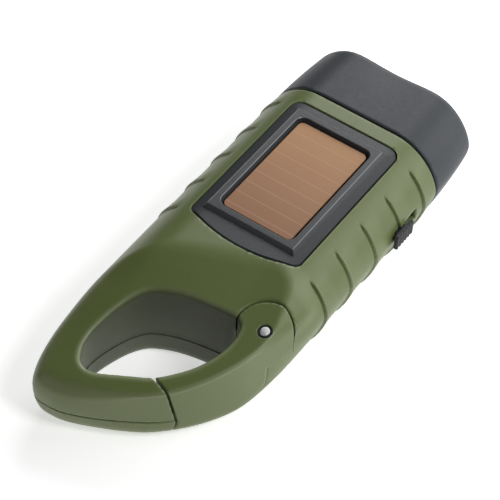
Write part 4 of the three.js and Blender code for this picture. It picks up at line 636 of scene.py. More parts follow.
def knob_form(x, y, z):
    """Switch knob with its stem and slider."""
    knob = box_distance(x, y, z, (24.4, -28.9, 14.4), (32.8, -27.55, 19.6))
    px = np.abs(x - 28.6)
    wave = 0.3 * (0.5 + 0.5 * np.cos(2 * np.pi * px / 1.4)) * (px < 3.5)
    knob = soft_max(knob, -28.9 + wave - y, 0.25)
    knob = soft_max(knob, px - 4.2, 0.6)
    knob = soft_max(knob, np.abs(z - 17) - 2.6, 0.6)
    stem = box_distance(x, y, z, (26.6, -28, 15.5), (30.6, -23.5, 18.5))
    slider = box_distance(x, y, z, (25, -23.9, 14.7), (32.2, -23.2, 19.3))
    return np.minimum(np.minimum(knob, stem), slider)


def slope_of(form, points, step):
    """Unit normals of a form at points."""
    columns = []
    for axis in range(3):
        shift = np.zeros(3)
        shift[axis] = step
        columns.append(form(*(points + shift).T) - form(*(points - shift).T))
    normals = np.stack(columns, axis=1)
    return normals / np.maximum(np.linalg.norm(normals, axis=1, keepdims=True), 1e-9)


def crossing(form, start, unit, low, high, step):
    """Points where the form's surface cuts grid edges, found by false position."""
    t0, t1 = np.zeros(len(low)), np.ones(len(low))
    for _ in range(3):
        margin = 0.02 * (t1 - t0)
        t = np.clip(t0 + (t1 - t0) * low / (low - high), t0 + margin, t1 - margin)
        value = form(*(start + t[:, None] * unit * step).T)
        same = (value < 0) == (low < 0)
        t0, low = np.where(same, t, t0), np.where(same, value, low)
        t1, high = np.where(same, t1, t), np.where(same, high, value)
    t = t0 + (t1 - t0) * low / (low - high)
    return start + t[:, None] * unit * step


def skin(form, low, high, step):
    """Vertices and quads of a form's surface: one vertex per cut cell, set where the
    planes of its cut edges meet, so that edges stay crisp."""
    low = np.array(low, float) - 1.5 * step
    counts = np.ceil((np.array(high) + 1.5 * step - low) / step).astype(int) + 1
    axes = [low[a] + step * np.arange(counts[a]) for a in range(3)]
    values = form(*np.meshgrid(*axes, indexing="ij"))
    inside = values < 0
    cell_counts = counts - 1
    ids, quads, facts = [], [], []
    for axis in range(3):
        first = [slice(None)] * 3
        second = [slice(None)] * 3
        first[axis], second[axis] = slice(0, -1), slice(1, None)
        at = np.argwhere(inside[tuple(first)] != inside[tuple(second)])
        others = [(axis + 1) % 3, (axis + 2) % 3]
        unit = np.zeros(3, int)
        unit[axis] = 1
        at = at[np.all((at[:, others] > 0) & (at[:, others] < cell_counts[others]), axis=1)]
        before, after = values[tuple(at.T)], values[tuple((at + unit).T)]
        points = crossing(form, low + at * step, unit, before, after, step)
        normals = slope_of(form, points, step * 0.05)
        corners = []
        for db, dc in ((0, 0), (1, 0), (1, 1), (0, 1)):
            cell = at.copy()
            cell[:, others[0]] -= db
            cell[:, others[1]] -= dc
            corners.append(np.ravel_multi_index(tuple(cell.T), cell_counts))
        corners = np.stack(corners, axis=1)
        ids.append(corners.reshape(-1))
        quads.append(np.where((before < 0)[:, None], corners, corners[:, ::-1]))
        facts.append(np.repeat(np.hstack([points, normals]), 4, axis=0))
    ids, quads, facts = np.concatenate(ids), np.concatenate(quads), np.concatenate(facts)
    cells, where = np.unique(ids, return_inverse=True)
    points, normals = facts[:, :3], facts[:, 3:]

    def total(column):
        return np.bincount(where, column, minlength=len(cells))

    count = total(np.ones(len(where)))
    mass = np.stack([total(points[:, a]) for a in range(3)], axis=1) / count[:, None]
    offset = np.sum(normals * (points - mass[where]), axis=1)
    matrix = np.zeros((len(cells), 3, 3))
    side = np.zeros((len(cells), 3))
    for a in range(3):
        side[:, a] = total(normals[:, a] * offset)
        for b in range(3):
            matrix[:, a, b] = total(normals[:, a] * normals[:, b])
    matrix += 0.04 * count[:, None, None] * np.eye(3)
    moved = np.linalg.solve(matrix, side[:, :, None])[:, :, 0]
    vertices = mass + np.clip(moved, -0.7 * step, 0.7 * step)
    cell_at = np.stack(np.unravel_index(cells, cell_counts), axis=1)
    floor = low + cell_at * step
    vertices = np.clip(vertices, floor - 0.05 * step, floor + 1.05 * step)
    return vertices, np.searchsorted(cells, quads)


def mesh_object(name, vertices, faces, material, body, smooth_angle=38):
    """Object with a smooth-shaded mesh that rides on a body."""
    mesh = bpy.data.meshes.new(name)
    placed = (np.asarray(vertices, float) + [0, MIDDLE_Y, 0]) * MM
    mesh.from_pydata(placed.tolist(), [], [list(map(int, face)) for face in faces])
    mesh.update()
    return dress(mesh_to_object(name, mesh), material, body, smooth_angle)


def mesh_to_object(name, mesh):
    """Links a new object for a mesh."""
    made = bpy.data.objects.new(name, mesh)
    bpy.context.scene.collection.objects.link(made)
    return made


def dress(made, material, body, smooth_angle=38):
    """Gives an object its material and shading, and puts it on its body."""
    made.data.materials.clear()
    made.data.materials.append(material)
    made.data.polygons.foreach_set("use_smooth", [True] * len(made.data.polygons))
    made.data.set_sharp_from_angle(angle=math.radians(smooth_angle))
    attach(made, body)
    return made


def form_object(name, form, low, high, step, material, body, smooth_angle=38, outside=None):
    """Object made from a form; the edges of the form outside it get a painted highlight."""
    vertices, faces = skin(form, low, high, step)
    made = mesh_object(name, vertices, faces, material, body, smooth_angle)
    if outside:
        paint_edge_highlight_and_loop_shade(made, outside)
    return made


def paint_edge_highlight_and_loop_shade(made, form, depth=0.9):
    """Writes how far each vertex lies on an outer edge, for a painted highlight along the edges,
    and on the loop's wall, for painted shade there."""
    mesh = made.data
    points = np.empty(3 * len(mesh.vertices), np.float32)
    normals = np.empty_like(points)
    mesh.vertices.foreach_get("co", points)
    mesh.vertex_normals.foreach_get("vector", normals)
    inner = points.reshape(-1, 3) / MM - [0, MIDDLE_Y, 0] - depth * normals.reshape(-1, 3)
    # Painted highlight: how far the vertex lies on a convex outer edge
    share = np.clip((form(*inner.T) / depth + 1) / 0.3, 0, 1)**2
    x, y, z = points.reshape(-1, 3).T / MM - np.array([[0], [MIDDLE_Y], [0]])
    # Painted shade over the loop's wall, reaching wider low down
    wall = smooth((0.5 + 2.2 * smooth((10 - z) / 8) - LOOP(x, y)) / 0.7)
    for key, value in (("rubbed", share), ("handled", wall)):
        written = mesh.attributes.new(key, "FLOAT", "POINT")
        written.data.foreach_set("value", value.astype(np.float32))


def turned(profile, segments, axis_point, along_x=False):
    """Vertices and faces of a profile of [radius, height] turned about an axis; the profile
    starts and ends on the axis."""
    rings = []
    vertices = []
    for radius, height in profile:
        if radius == 0:
            rings.append([len(vertices)])
            vertices.append((0, 0, height))
            continue
        start = len(vertices)
        for i in range(segments):
            angle = 2 * math.pi * i / segments
            vertices.append((radius * math.cos(angle), radius * math.sin(angle), height))
        rings.append(list(range(start, start + segments)))
    faces = []
    for lower, upper in zip(rings, rings[1:]):
        for i in range(segments):
            j = (i + 1) % segments
            corners = [lower[i % len(lower)], lower[j % len(lower)],
                       upper[j % len(upper)], upper[i % len(upper)]]
            corners = list(dict.fromkeys(corners))
            if len(corners) > 2:
                faces.append(corners)
    placed = np.roll(vertices, 1, axis=1) if along_x else np.array(vertices)
    return placed + axis_point, faces


def leaning(vertices, faces):
    """The same shape with its upper part sheared to lie parallel to the tail's slope."""
    lean = SLOPE * (vertices[:, 0] - PIN[0]) * (vertices[:, 2] > LUG_Z)
    return vertices + lean[:, None] * [0, 0, 1], faces


def loft(rings, endless):
    """Vertices and faces of a skin over rings with equal point counts; it joins its last ring
    to its first, or has flat ends."""
    count, levels = len(rings[0]), len(rings)
    faces = []
    for level in range(levels if endless else levels - 1):
        low, high = level * count, (level + 1) % levels * count
        for i in range(count):
            j = (i + 1) % count
            faces.append((low + i, low + j, high + j, high + i))
    if not endless:
        faces.append(range(count - 1, -1, -1))
        faces.append(range((levels - 1) * count, levels * count))
    return np.vstack(rings), faces


def evaluated_mesh(made):
    """Plain mesh of an object with its modifiers."""
    bpy.context.view_layer.update()
    graph = bpy.context.evaluated_depsgraph_get()
    return bpy.data.meshes.new_from_object(made.evaluated_get(graph))


def run_tree(name, base, tree, values, material, body, smooth_angle=38):
    """Runs a geometry tree on a base mesh and keeps the plain result."""
    holder = mesh_to_object(name, base)
    modifier = holder.modifiers.new(name, "NODES")
    modifier.node_group = tree
    names = {item.name: item.identifier for item in tree.interface.items_tree
             if item.item_type == "SOCKET" and item.in_out == "INPUT"}
    for key, value in values.items():
        modifier[names[key]] = value
    result = evaluated_mesh(holder)
    holder.modifiers.remove(modifier)
    old = holder.data
    holder.data = result
    bpy.data.meshes.remove(old)
    return dress(holder, material, body, smooth_angle)


def new_tree(name, inputs):
    """Empty geometry tree with a geometry input and the named inputs."""
    tree = bpy.data.node_groups.new(name, "GeometryNodeTree")
    tree.interface.new_socket("Geometry", in_out="INPUT", socket_type="NodeSocketGeometry")
    tree.interface.new_socket("Geometry", in_out="OUTPUT", socket_type="NodeSocketGeometry")
    for key, (kind, value) in inputs.items():
        socket = tree.interface.new_socket(key, in_out="INPUT", socket_type=kind)
        if value is not None:
            socket.default_value = value
    return tree, add_node(tree, "NodeGroupInput"), add_node(tree, "NodeGroupOutput")


def end_tree(tree, source, given, result):
    """Ends a geometry tree: makes its copies real and gives them the material."""
    real = add_node(tree, "GeometryNodeRealizeInstances", links={"Geometry": source})
    painted = add_node(tree, "GeometryNodeSetMaterial", links={
        "Geometry": real.outputs[0], "Material": given.outputs["Material"]})
    tree.links.new(painted.outputs[0], result.inputs[0])
    return tree


def points_tree(name):
    """Tree that puts a copy of one made part on each point of its base mesh."""
    tree, given, result = new_tree(name, {
        "Part": ("NodeSocketObject", None),
        "Material": ("NodeSocketMaterial", None),
        "Size": ("NodeSocketFloat", 1.0),
    })
    info = add_node(tree, "GeometryNodeObjectInfo", links={"Object": given.outputs["Part"]})
    placed = add_node(tree, "GeometryNodeInstanceOnPoints", links={
        "Points": given.outputs["Geometry"],
        "Instance": info.outputs["Geometry"],
        "Scale": given.outputs["Size"],
    })
    return end_tree(tree, placed.outputs[0], given, result)


def ridges_tree(name):
    """Tree that strings round ridges along X over its base mesh."""
    tree, given, result = new_tree(name, {
        "Count": ("NodeSocketInt", 8),
        "Start": ("NodeSocketVector", (0, 0, 0)),
        "Pitch": ("NodeSocketVector", (0.001, 0, 0)),
        "Ring radius": ("NodeSocketFloat", 0.003),
        "Ridge radius": ("NodeSocketFloat", 0.0003),
        "Material": ("NodeSocketMaterial", None),
    })
    line = add_node(tree, "GeometryNodeMeshLine", links={
        "Count": given.outputs["Count"],
        "Start Location": given.outputs["Start"],
        "Offset": given.outputs["Pitch"],
    })
    circle = add_node(tree, "GeometryNodeCurvePrimitiveCircle", values={"Resolution": 48},
                      links={"Radius": given.outputs["Ring radius"]})
    profile = add_node(tree, "GeometryNodeCurvePrimitiveCircle", values={"Resolution": 10},
                       links={"Radius": given.outputs["Ridge radius"]})
    ring = add_node(tree, "GeometryNodeCurveToMesh", links={
        "Curve": circle.outputs[0], "Profile Curve": profile.outputs[0]})
    placed = add_node(tree, "GeometryNodeInstanceOnPoints",
                      values={"Rotation": (0, math.pi / 2, 0)},
                      links={"Points": line.outputs[0], "Instance": ring.outputs[0]})
    joined = add_node(tree, "GeometryNodeJoinGeometry")
    tree.links.new(given.outputs["Geometry"], joined.inputs[0])
    tree.links.new(placed.outputs[0], joined.inputs[0])
    return end_tree(tree, joined.outputs[0], given, result)


# Materials


def surface(name, values):
    """Material with one principled shader; returns its tree, shader and Object coordinates."""
    material = bpy.data.materials.new(name)
    material.use_nodes = True
    tree = material.node_tree
    shader = tree.nodes["Principled BSDF"]
    for key, value in values.items():
        shader.inputs[key].default_value = value
    place = add_node(tree, "ShaderNodeTexCoord").outputs["Object"]
    return material, tree, shader, place


def mixed(tree, share, low, high):
    """Colour between two ends by a share; an end is a hex value or a socket."""
    ends = {6: low, 7: high}
    fixed = {slot: (*linear(end), 1) for slot, end in ends.items() if isinstance(end, str)}
    linked = {slot: end for slot, end in ends.items() if slot not in fixed}
    return add_node(tree, "ShaderNodeMix", fixed, {0: share, **linked},
                    data_type="RGBA").outputs[2]


def bump_from(tree, shader, height, strength, depth):
    """Bump that follows a pattern; its depth is in millimetres."""
    bump = add_node(tree, "ShaderNodeBump", {"Strength": strength, "Distance": depth * MM},
                    {"Height": height})
    tree.links.new(bump.outputs[0], shader.inputs["Normal"])


def drift(tree, place, millimetres, low, high):
    """Slow change between two colours over a distance."""
    noise = add_node(tree, "ShaderNodeTexNoise", {"Scale": 1000 / millimetres, "Detail": 2.0},
                     {"Vector": place})
    return mixed(tree, noise.outputs[0], low, high)


def grain(tree, place, shader, millimetres, strength, depth):
    """Bump of a fine grain, and the noise that makes it."""
    noise = add_node(tree, "ShaderNodeTexNoise", {"Scale": 1000 / millimetres, "Detail": 3.0},
                     {"Vector": place})
    bump_from(tree, shader, noise.outputs[0], strength, depth)
    return noise.outputs[0]


def roughness_from(tree, source, shader, low, high):
    """Roughness that follows a pattern between two values."""
    spread = add_node(tree, "ShaderNodeMapRange", {
        "From Min": 0.3, "From Max": 0.7, "To Min": low, "To Max": high}, {"Value": source})
    tree.links.new(spread.outputs[0], shader.inputs["Roughness"])


def written_share(tree, name, part):
    """Part of a share that is written on the mesh's points."""
    written = add_node(tree, "ShaderNodeAttribute", attribute_name=name)
    return add_node(tree, "ShaderNodeMath", {1: part}, {0: written.outputs["Fac"]},
                    operation="MULTIPLY").outputs[0]


def moulded_abs(name, low, high, rough, edge=None, shine=0.5):
    """ABS moulded in a spark-eroded tool: a fine even grain, a satin sheen without flecks,
    a painted highlight along its edges, and painted shade on the loop's wall."""
    material, tree, shader, place = surface(name, {"IOR": 1.52, "Specular IOR Level": shine})
    base = drift(tree, place, 22, low, high)
    # Painted highlight: a paler colour along the edges
    rubbed = mixed(tree, written_share(tree, "rubbed", 0.6), base, edge or high)
    # Painted shade on the loop's wall: the colour darkens toward #1d2019
    tint = mixed(tree, written_share(tree, "handled", 0.66), rubbed, "#1d2019")
    tree.links.new(tint, shader.inputs["Base Color"])
    fine = grain(tree, place, shader, 0.55, 0.3, 0.04)
    roughness_from(tree, fine, shader, rough - 0.05, rough + 0.06)
    return material


def stamped_steel():
    """Nickel plated sheet: brushed along X, a little cloudy."""
    material, tree, shader, place = surface("Plated stamped steel", {"Metallic": 1.0})
    stretched = add_node(tree, "ShaderNodeMapping", {"Scale": (0.06, 1, 1)}, {"Vector": place})
    tree.links.new(drift(tree, place, 9, "#b4b8bb", "#c9ccce"), shader.inputs["Base Color"])
    lines = grain(tree, stretched.outputs[0], shader, 0.18, 0.3, 0.01)
    roughness_from(tree, lines, shader, 0.24, 0.42)
    return material


def plain_material(name, values, fine, rough, colour=None):
    """Material with a fine grain that also spreads its roughness, and a slow drift of colour."""
    material, tree, shader, place = surface(name, values)
    if colour:
        tree.links.new(drift(tree, place, *colour), shader.inputs["Base Color"])
    roughness_from(tree, grain(tree, place, shader, *fine), shader, *rough)
    return material


def wound_copper():
    """Coil of fine enamelled wire: rings 0.35 mm apart, glossy enamel over copper."""
    material, tree, shader, place = surface("Enamelled copper winding", {
        "Metallic": 1.0, "Roughness": 0.3, "Coat Weight": 0.6, "Coat Roughness": 0.15})
    wires = add_node(tree, "ShaderNodeTexWave", {"Scale": 1000 / 0.35 / 20, "Distortion": 0.6},
                     {"Vector": place}, bands_direction="Z")
    tint = mixed(tree, wires.outputs[1], "#7d3f1d", "#c9783f")
    tree.links.new(tint, shader.inputs["Base Color"])
    bump_from(tree, shader, wires.outputs[1], 0.6, 0.1)
    return material


def solder_mask():
    """Circuit board: glossy green lacquer, the glass weave just visible, darker traces."""
    material, tree, shader, place = surface("Green solder mask on glass epoxy", {
        "IOR": 1.5, "Coat Weight": 0.5, "Coat Roughness": 0.12})
    cells = add_node(tree, "ShaderNodeTexBrick", {
        "Color1": (*linear("#2c6a42"), 1), "Color2": (*linear("#35784c"), 1),
        "Mortar": (*linear("#1d4d30"), 1), "Scale": 1000 / 4, "Mortar Size": 0.03,
        "Brick Width": 0.9, "Row Height": 0.35}, {"Vector": place})
    tree.links.new(cells.outputs[0], shader.inputs["Base Color"])
    fine = grain(tree, place, shader, 0.5, 0.12, 0.02)
    roughness_from(tree, fine, shader, 0.3, 0.42)
    return material


def open_foam():
    """Soft pad behind the cell: matt, pitted by cells of about 0.6 mm."""
    material, tree, shader, place = surface("Open polyurethane foam", {"Roughness": 0.95})
    pores = add_node(tree, "ShaderNodeTexVoronoi", {"Scale": 1000 / 0.6}, {"Vector": place})
    tint = mixed(tree, pores.outputs[0], "#a9a79d", "#dcdad1")
    tree.links.new(tint, shader.inputs["Base Color"])
    bump_from(tree, shader, pores.outputs[0], 0.8, 0.3)
    return material


def clear_plastic(name, tint, rough):
    """Clear moulded plastic: sharp highlights, a faint ripple from the mould."""
    material, tree, shader, place = surface(name, {
        "Base Color": (*linear(tint), 1), "IOR": 1.58, "Roughness": rough,
        "Transmission Weight": 1.0})
    ripple = add_node(tree, "ShaderNodeTexNoise", {"Scale": 1000 / 9, "Detail": 1.0},
                      {"Vector": place})
    bump_from(tree, shader, ripple.outputs[0], 0.05, 0.05)
    return material


def silicon_cell():
    """Thin film cell: brown, with a painted reflection that makes it paler toward the head, cut by
    thin lighter lines every 4.5 mm across it, under a clear coat."""
    material, tree, shader, place = surface("Amorphous silicon under resin", {
        "IOR": 1.5, "Coat Weight": 0.15, "Coat Roughness": 0.35, "Roughness": 0.5})
    split = add_node(tree, "ShaderNodeSeparateXYZ", links={"Vector": place})
    # Painted reflection: the cell's brown grows paler from its tail end to its head end
    along = add_node(tree, "ShaderNodeMapRange", {"From Min": -0.002, "From Max": 0.036},
                     {"Value": split.outputs[0]})
    base = mixed(tree, along.outputs[0], drift(tree, place, 14, "#885a33", "#8f6038"),
                 drift(tree, place, 14, "#aa7845", "#b27f4c"))
    steps = add_node(tree, "ShaderNodeMath", {1: 1000 / 4.5}, {0: split.outputs[0]},
                     operation="MULTIPLY")
    part = add_node(tree, "ShaderNodeMath", {1: 0.5}, {0: steps.outputs[0]}, operation="PINGPONG")
    line = add_node(tree, "ShaderNodeMapRange", {
        "From Min": 0.0, "From Max": 0.07, "To Min": 0.4, "To Max": 0.0},
        {"Value": part.outputs[0]})
    tint = mixed(tree, line.outputs[0], base, "#b98f70")
    tree.links.new(tint, shader.inputs["Base Color"])
    return material


# Materials that are plain enough for a table: name, fixed values, size, strength and depth of
# the grain, range of the roughness, and size and colours of the drift
PLAIN = {
    # Pins and screws turned on a lathe: fine rings, bright edges
    "steel": ("Turned steel", {"Metallic": 1.0, "Base Color": (*linear("#c3c7ca"), 1)},
              (0.25, 0.25, 0.01), (0.2, 0.36)),
    # Rivet end in zinc: pale grey, dull
    "zinc": ("Zinc plated rivet", {"Metallic": 1.0}, (0.3, 0.2, 0.01), (0.56, 0.7),
             (4, "#f0f1f2", "#f8f9f9")),
    # Bare brass: warm, a little cloudy
    "brass": ("Turned brass", {"Metallic": 1.0}, (0.3, 0.2, 0.01), (0.24, 0.38),
              (4, "#b98f46", "#caa75f")),
    # Moulded gears: milky white with a waxy gloss
    "acetal": ("Natural acetal",
               {"IOR": 1.48, "Subsurface Weight": 0.15, "Subsurface Scale": 0.001},
               (0.4, 0.15, 0.02), (0.34, 0.46), (6, "#dedacb", "#ebe8dc")),
    # Reflector: an aluminium mirror on moulded plastic, with a light orange peel
    "mirror": ("Vacuum plated aluminium", {"Metallic": 1.0, "Base Color": (*linear("#e4e7ea"), 1)},
               (1.2, 0.12, 0.02), (0.05, 0.12)),
    # Gasket: dull black, slightly dusty
    "rubber": ("Moulded silicone rubber", {"IOR": 1.45}, (0.5, 0.3, 0.05), (0.7, 0.85),
               (5, "#161718", "#1f2021")),
}
_materials = {}


def paint(key):
    """The finished material for a key, made once."""
    makers = {
        # The last colour given for green and for charcoal is the painted highlight along their
        # edges
        "green": lambda: moulded_abs("Moss green ABS", *shades("green"), 0.42, "#929b78"),
        "charcoal": lambda: moulded_abs(
            "Charcoal ABS", *shades("charcoal"), 0.5, "#5c6064", 0.35),
        "grey": lambda: moulded_abs("Black acetal knob", "#191a1c", "#202224", 0.62),
        "frame": lambda: moulded_abs(
            "Dark charcoal ABS", *shades("charcoal", 0.84), 0.4, None, 0.4),
        # Paler charcoal for the bevels of the frame's ridge: a painted highlight
        "edge": lambda: moulded_abs("Rubbed charcoal edge", "#63676a", "#6d7174", 0.3),
        "washer": lambda: moulded_abs("Black nylon washer", "#111213", "#161718", 0.55),
        "sheet": stamped_steel,
        "copper": wound_copper,
        "board": solder_mask,
        "foam": open_foam,
        "clear": lambda: clear_plastic("Clear polycarbonate", "#f3f7f8", 0.03),
        "dome": lambda: clear_plastic("Water clear epoxy", "#f7f8f4", 0.05),
        "cell": silicon_cell,
    }
    if key not in _materials:
        _materials[key] = plain_material(*PLAIN[key]) if key in PLAIN else makers[key]()
    return _materials[key]


def srgb_hex(colour):
    """Hex value of an sRGB colour given in shares."""
    return "#" + "".join(f"{round(255 * share):02x}" for share in colour)


def shades(key, depth=1.0):
    """A slightly darker and a slightly lighter shade of a colour in the settings."""
    colour = getattr(bpy.context.scene.flashlight_housing, key)
    return [srgb_hex([depth * share * part for part in colour]) for share in (0.97, 1.03)]


# Settings


class HousingSettings(bpy.types.PropertyGroup):
    """Colours and mesh of the housing."""

    green: FloatVectorProperty(
        name="Green", description="Colour of the shells and the gate", subtype="COLOR_GAMMA",
        size=3, min=0, max=1, default=(0.385, 0.432, 0.24))
    charcoal: FloatVectorProperty(
        name="Charcoal", description="Colour of the head, the frame and the crank",
        subtype="COLOR_GAMMA", size=3, min=0, max=1, default=(0.22, 0.236, 0.254))
    step: FloatProperty(
        name="Mesh step", description="Spacing of the mesh in millimetres", default=0.5, min=0.4)


class HeadSettings(bpy.types.PropertyGroup):
    """Mesh of the lamp head."""

    step: FloatProperty(
        name="Mesh step", description="Spacing of the mesh in millimetres", default=0.55, min=0.3)


class CrankSettings(bpy.types.PropertyGroup):
    """Mesh of the crank and ridges of its grip."""

    step: FloatProperty(
        name="Mesh step", description="Spacing of the mesh in millimetres", default=0.45, min=0.2)
    ridges: IntProperty(name="Grip ridges", description="Ridges round the grip", default=11, min=0)
    pitch: FloatProperty(
        name="Ridge pitch", description="Distance between ridges", default=0.0021, unit="LENGTH")


class StageSettings(bpy.types.PropertyGroup):
    """Floor, lights and camera."""

    floor: FloatVectorProperty(
        name="Floor", description="Colour of the floor", subtype="COLOR_GAMMA",
        size=3, min=0, max=1, default=(0.97, 0.97, 0.97))
    key: FloatProperty(
        name="Key light", description="Power of the light beside the head", default=2.4,
        unit="POWER")
    back: FloatProperty(
        name="Back light", description="Power of the light behind the head", default=3.3,
        unit="POWER")
    top: FloatProperty(
        name="Top light", description="Power of the light overhead", default=1.65, unit="POWER")
    rim: FloatProperty(
        name="Rim light", description="Power of the light behind the tail", default=0.3,
        unit="POWER")
    glow: FloatProperty(
        name="Table glow", description="Light that comes up through the table", default=0.55, min=0)


# Operators


class FLASHLIGHT_OT_shells(bpy.types.Operator):
    """Make the two halves of the housing"""

    bl_idname = "flashlight.shells"
    bl_label = "Housing shells"

    def execute(self, context):
        settings = context.scene.flashlight_housing
        top = form_object("top_shell_skin", top_form, (TAIL_X, -SIDE, 7),
                          (NECK_END, SIDE, TOP_Z), settings.step, paint("green"), "housing",
                          outside=outer_form)
        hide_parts("top_shell")
        bottom = form_object("bottom_shell_skin", bottom_form, (TAIL_X, -SIDE, 0),
                             (NECK_END, SIDE, 20), settings.step, paint("green"), "housing",
                             outside=outer_form)
        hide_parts("bottom_shell")
        return {"FINISHED"}


class FLASHLIGHT_OT_gate(bpy.types.Operator):
    """Make the spring gate, its pin and the black ring round the pin"""

    bl_idname = "flashlight.gate"
    bl_label = "Spring gate"

    def execute(self, context):
        gate = form_object("gate_skin", gate_form, (-60, -30, 0), (-18, -2, TOP_Z), 0.36,
                           paint("green"), "gate", outside=outer_form)
        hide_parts("gate")
        top = TOP_Z - SLOPE * (SLOPE_X - PIN[0]) - 0.1
        profile = [(0, PIN_LOW), (1.25, PIN_LOW), (1.25, top - 0.3), (1.1, top - 0.1), (0.6, top),
                   (0, top)]
        pin = mesh_object("gate_pin_skin", *leaning(*turned(profile, 40, (*PIN, 0))),
                          paint("zinc"), "housing")
        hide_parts("gate_pin")
        # A black ring sunk in the pocket round the pin, under the gate's top
        profile = [(1.28, top - 1.2), (1.85, top - 1.2), (1.85, top - 0.4), (1.28, top - 0.4)]
        ring = turned(profile + profile[:1], 40, (*PIN, 0))
        washer = mesh_object("gate_washer_skin", *leaning(*ring), paint("washer"), "housing")
        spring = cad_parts["gate_spring"]
        spring.data.materials.clear()
        spring.data.materials.append(paint("steel"))
        return {"FINISHED"}


class FLASHLIGHT_OT_head(bpy.types.Operator):
    """Make the hood, the lens, the reflector and the lamps"""

    bl_idname = "flashlight.head"
    bl_label = "Lamp head"

    def execute(self, context):
        step = context.scene.flashlight_head.step
        low, high = (48, -SIDE, 0), (FRONT_X, SIDE, TOP_Z)
        hood = form_object("head_hood_skin", hood_form, low, high, step, paint("charcoal"),
                           "housing", outside=head_outer)
        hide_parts("head_hood")
        lens = form_object("lens_skin", lens_form, low, high, step, paint("clear"), "housing")
        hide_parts("lens")
        reflector = form_object("reflector_skin", reflector_form, low, high, step,
                                paint("mirror"), "housing", 30)
        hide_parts("reflector")
        for name, y in (("led_left", LAMP_Y), ("led_right", -LAMP_Y)):
            dome = [(0, 0), (2.9, 0), (2.9, 0.8), (2.5, 0.8), (2.5, 4.4)]
            dome += [(2.5 * math.cos(a), 4.4 + 2.6 * math.sin(a))
                     for a in np.linspace(0, math.pi / 2, 10)[1:-1]]
            shape = turned(dome + [(0, 7.0)], 32, (LAMP_X, y, LAMP_Z), True)
            lamp = mesh_object(name + "_skin", *shape, paint("dome"), "housing")
            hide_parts(name)
        return {"FINISHED"}


class FLASHLIGHT_OT_solar(bpy.types.Operator):
    """Make the solar frame and the cell"""

    bl_idname = "flashlight.solar"
    bl_label = "Solar panel"

    def execute(self, context):
        rings = bezel_rings()
        bezel = mesh_object("solar_bezel_skin", *loft(rings, True), paint("frame"), "housing", 20)
        # The bevels of the ridge take the paler material, a painted highlight
        bezel.data.materials.append(paint("edge"))
        for level in PAINTED_HIGHLIGHT_LEVELS:
            for i in range(len(rings[0])):
                bezel.data.polygons[level * len(rings[0]) + i].material_index = 1
        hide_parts("solar_bezel")
        cell = mesh_object("solar_cell_skin", *loft(cell_rings(), False), paint("cell"),
                           "housing", 28)
        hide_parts("solar_cell")
        return {"FINISHED"}


class FLASHLIGHT_OT_switch(bpy.types.Operator):
    """Make the ribbed switch knob"""

    bl_idname = "flashlight.switch"
    bl_label = "Slide switch"

    def execute(self, context):
        knob = form_object("switch_knob_skin", knob_form, (24.3, -29, 14.3), (32.9, -23, 19.7),
                           0.16, paint("grey"), "switch", 40)
        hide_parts("switch_button")
        return {"FINISHED"}


class FLASHLIGHT_OT_crank(bpy.types.Operator):
    """Make the crank plate, its handle and the ridged grip"""

    bl_idname = "flashlight.crank"
    bl_label = "Crank"

    def execute(self, context):
        settings = context.scene.flashlight_crank
        disc = form_object("crank_disc_skin", crank_form, (-11, -19, 0.4), (27, 19, 9.4),
                           settings.step, paint("charcoal"), "crank")
        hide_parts("crank_disc")
        handle = form_object("crank_handle_skin", handle_form, (-9, -4, 0.7), (25.3, 4, 7.3), 0.3,
                             paint("charcoal"), "handle")
        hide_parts("crank_handle")
        profile = [(1.8, -8.0), (2.5, -8.0), (2.85, -7.6), (2.85, 18.0), (2.5, 18.4), (1.8, 18.4)]
        vertices, faces = turned(profile + profile[:1], 48, (0, 0, HINGE_Z), True)
        base = bpy.data.meshes.new("grip_base")
        base.from_pydata(((vertices + [0, MIDDLE_Y, 0]) * MM).tolist(), [], faces)
        shell = bmesh.new()
        shell.from_mesh(base)
        bmesh.ops.remove_doubles(shell, verts=shell.verts, dist=1e-6)
        bmesh.ops.recalc_face_normals(shell, faces=shell.faces)
        shell.to_mesh(base)
        shell.free()
        grip = run_tree("handle_grip_skin", base, ridges_tree("Grip ridges"), {
            "Count": settings.ridges,
            "Start": (-0.0055, MIDDLE_Y * MM, HINGE_Z * MM),
            "Pitch": (settings.pitch, 0, 0),
            "Ring radius": 0.0027,
            "Ridge radius": 0.00035,
            "Material": paint("charcoal"),
        }, paint("charcoal"), "grip")
        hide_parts("handle_grip")
        return {"FINISHED"}


def screw_mesh():
    """One pan head screw with a cross recess, standing on its head."""
    head = [(0, 0.25), (1.6, 0.0), (2.05, 0.3), (2.2, 0.75), (2.2, 1.5), (1.1, 1.5), (1.1, 13.1)]
    vertices, faces = turned(head + [(0.6, 13.6), (0, 13.6)], 32, (0, 0, 0))
    mesh = bpy.data.meshes.new("screw")
    mesh.from_pydata((vertices * MM).tolist(), [], faces)
    cutter = bpy.data.meshes.new("recess")
    shape = bmesh.new()
    for size in ((2.6, 0.55, 1.7), (0.55, 2.6, 1.7)):
        bmesh.ops.create_cube(shape, size=1, matrix=Matrix.Diagonal((*[s * MM for s in size], 1)))
    shape.to_mesh(cutter)
    shape.free()
    body, tool = mesh_to_object("screw_body", mesh), mesh_to_object("screw_tool", cutter)
    cut = body.modifiers.new("recess", "BOOLEAN")
    cut.object, cut.operation, cut.solver = tool, "DIFFERENCE", "EXACT"
    cut.use_self = True
    result = evaluated_mesh(body)
    for made in (body, tool):
        bpy.data.objects.remove(made)
    return result


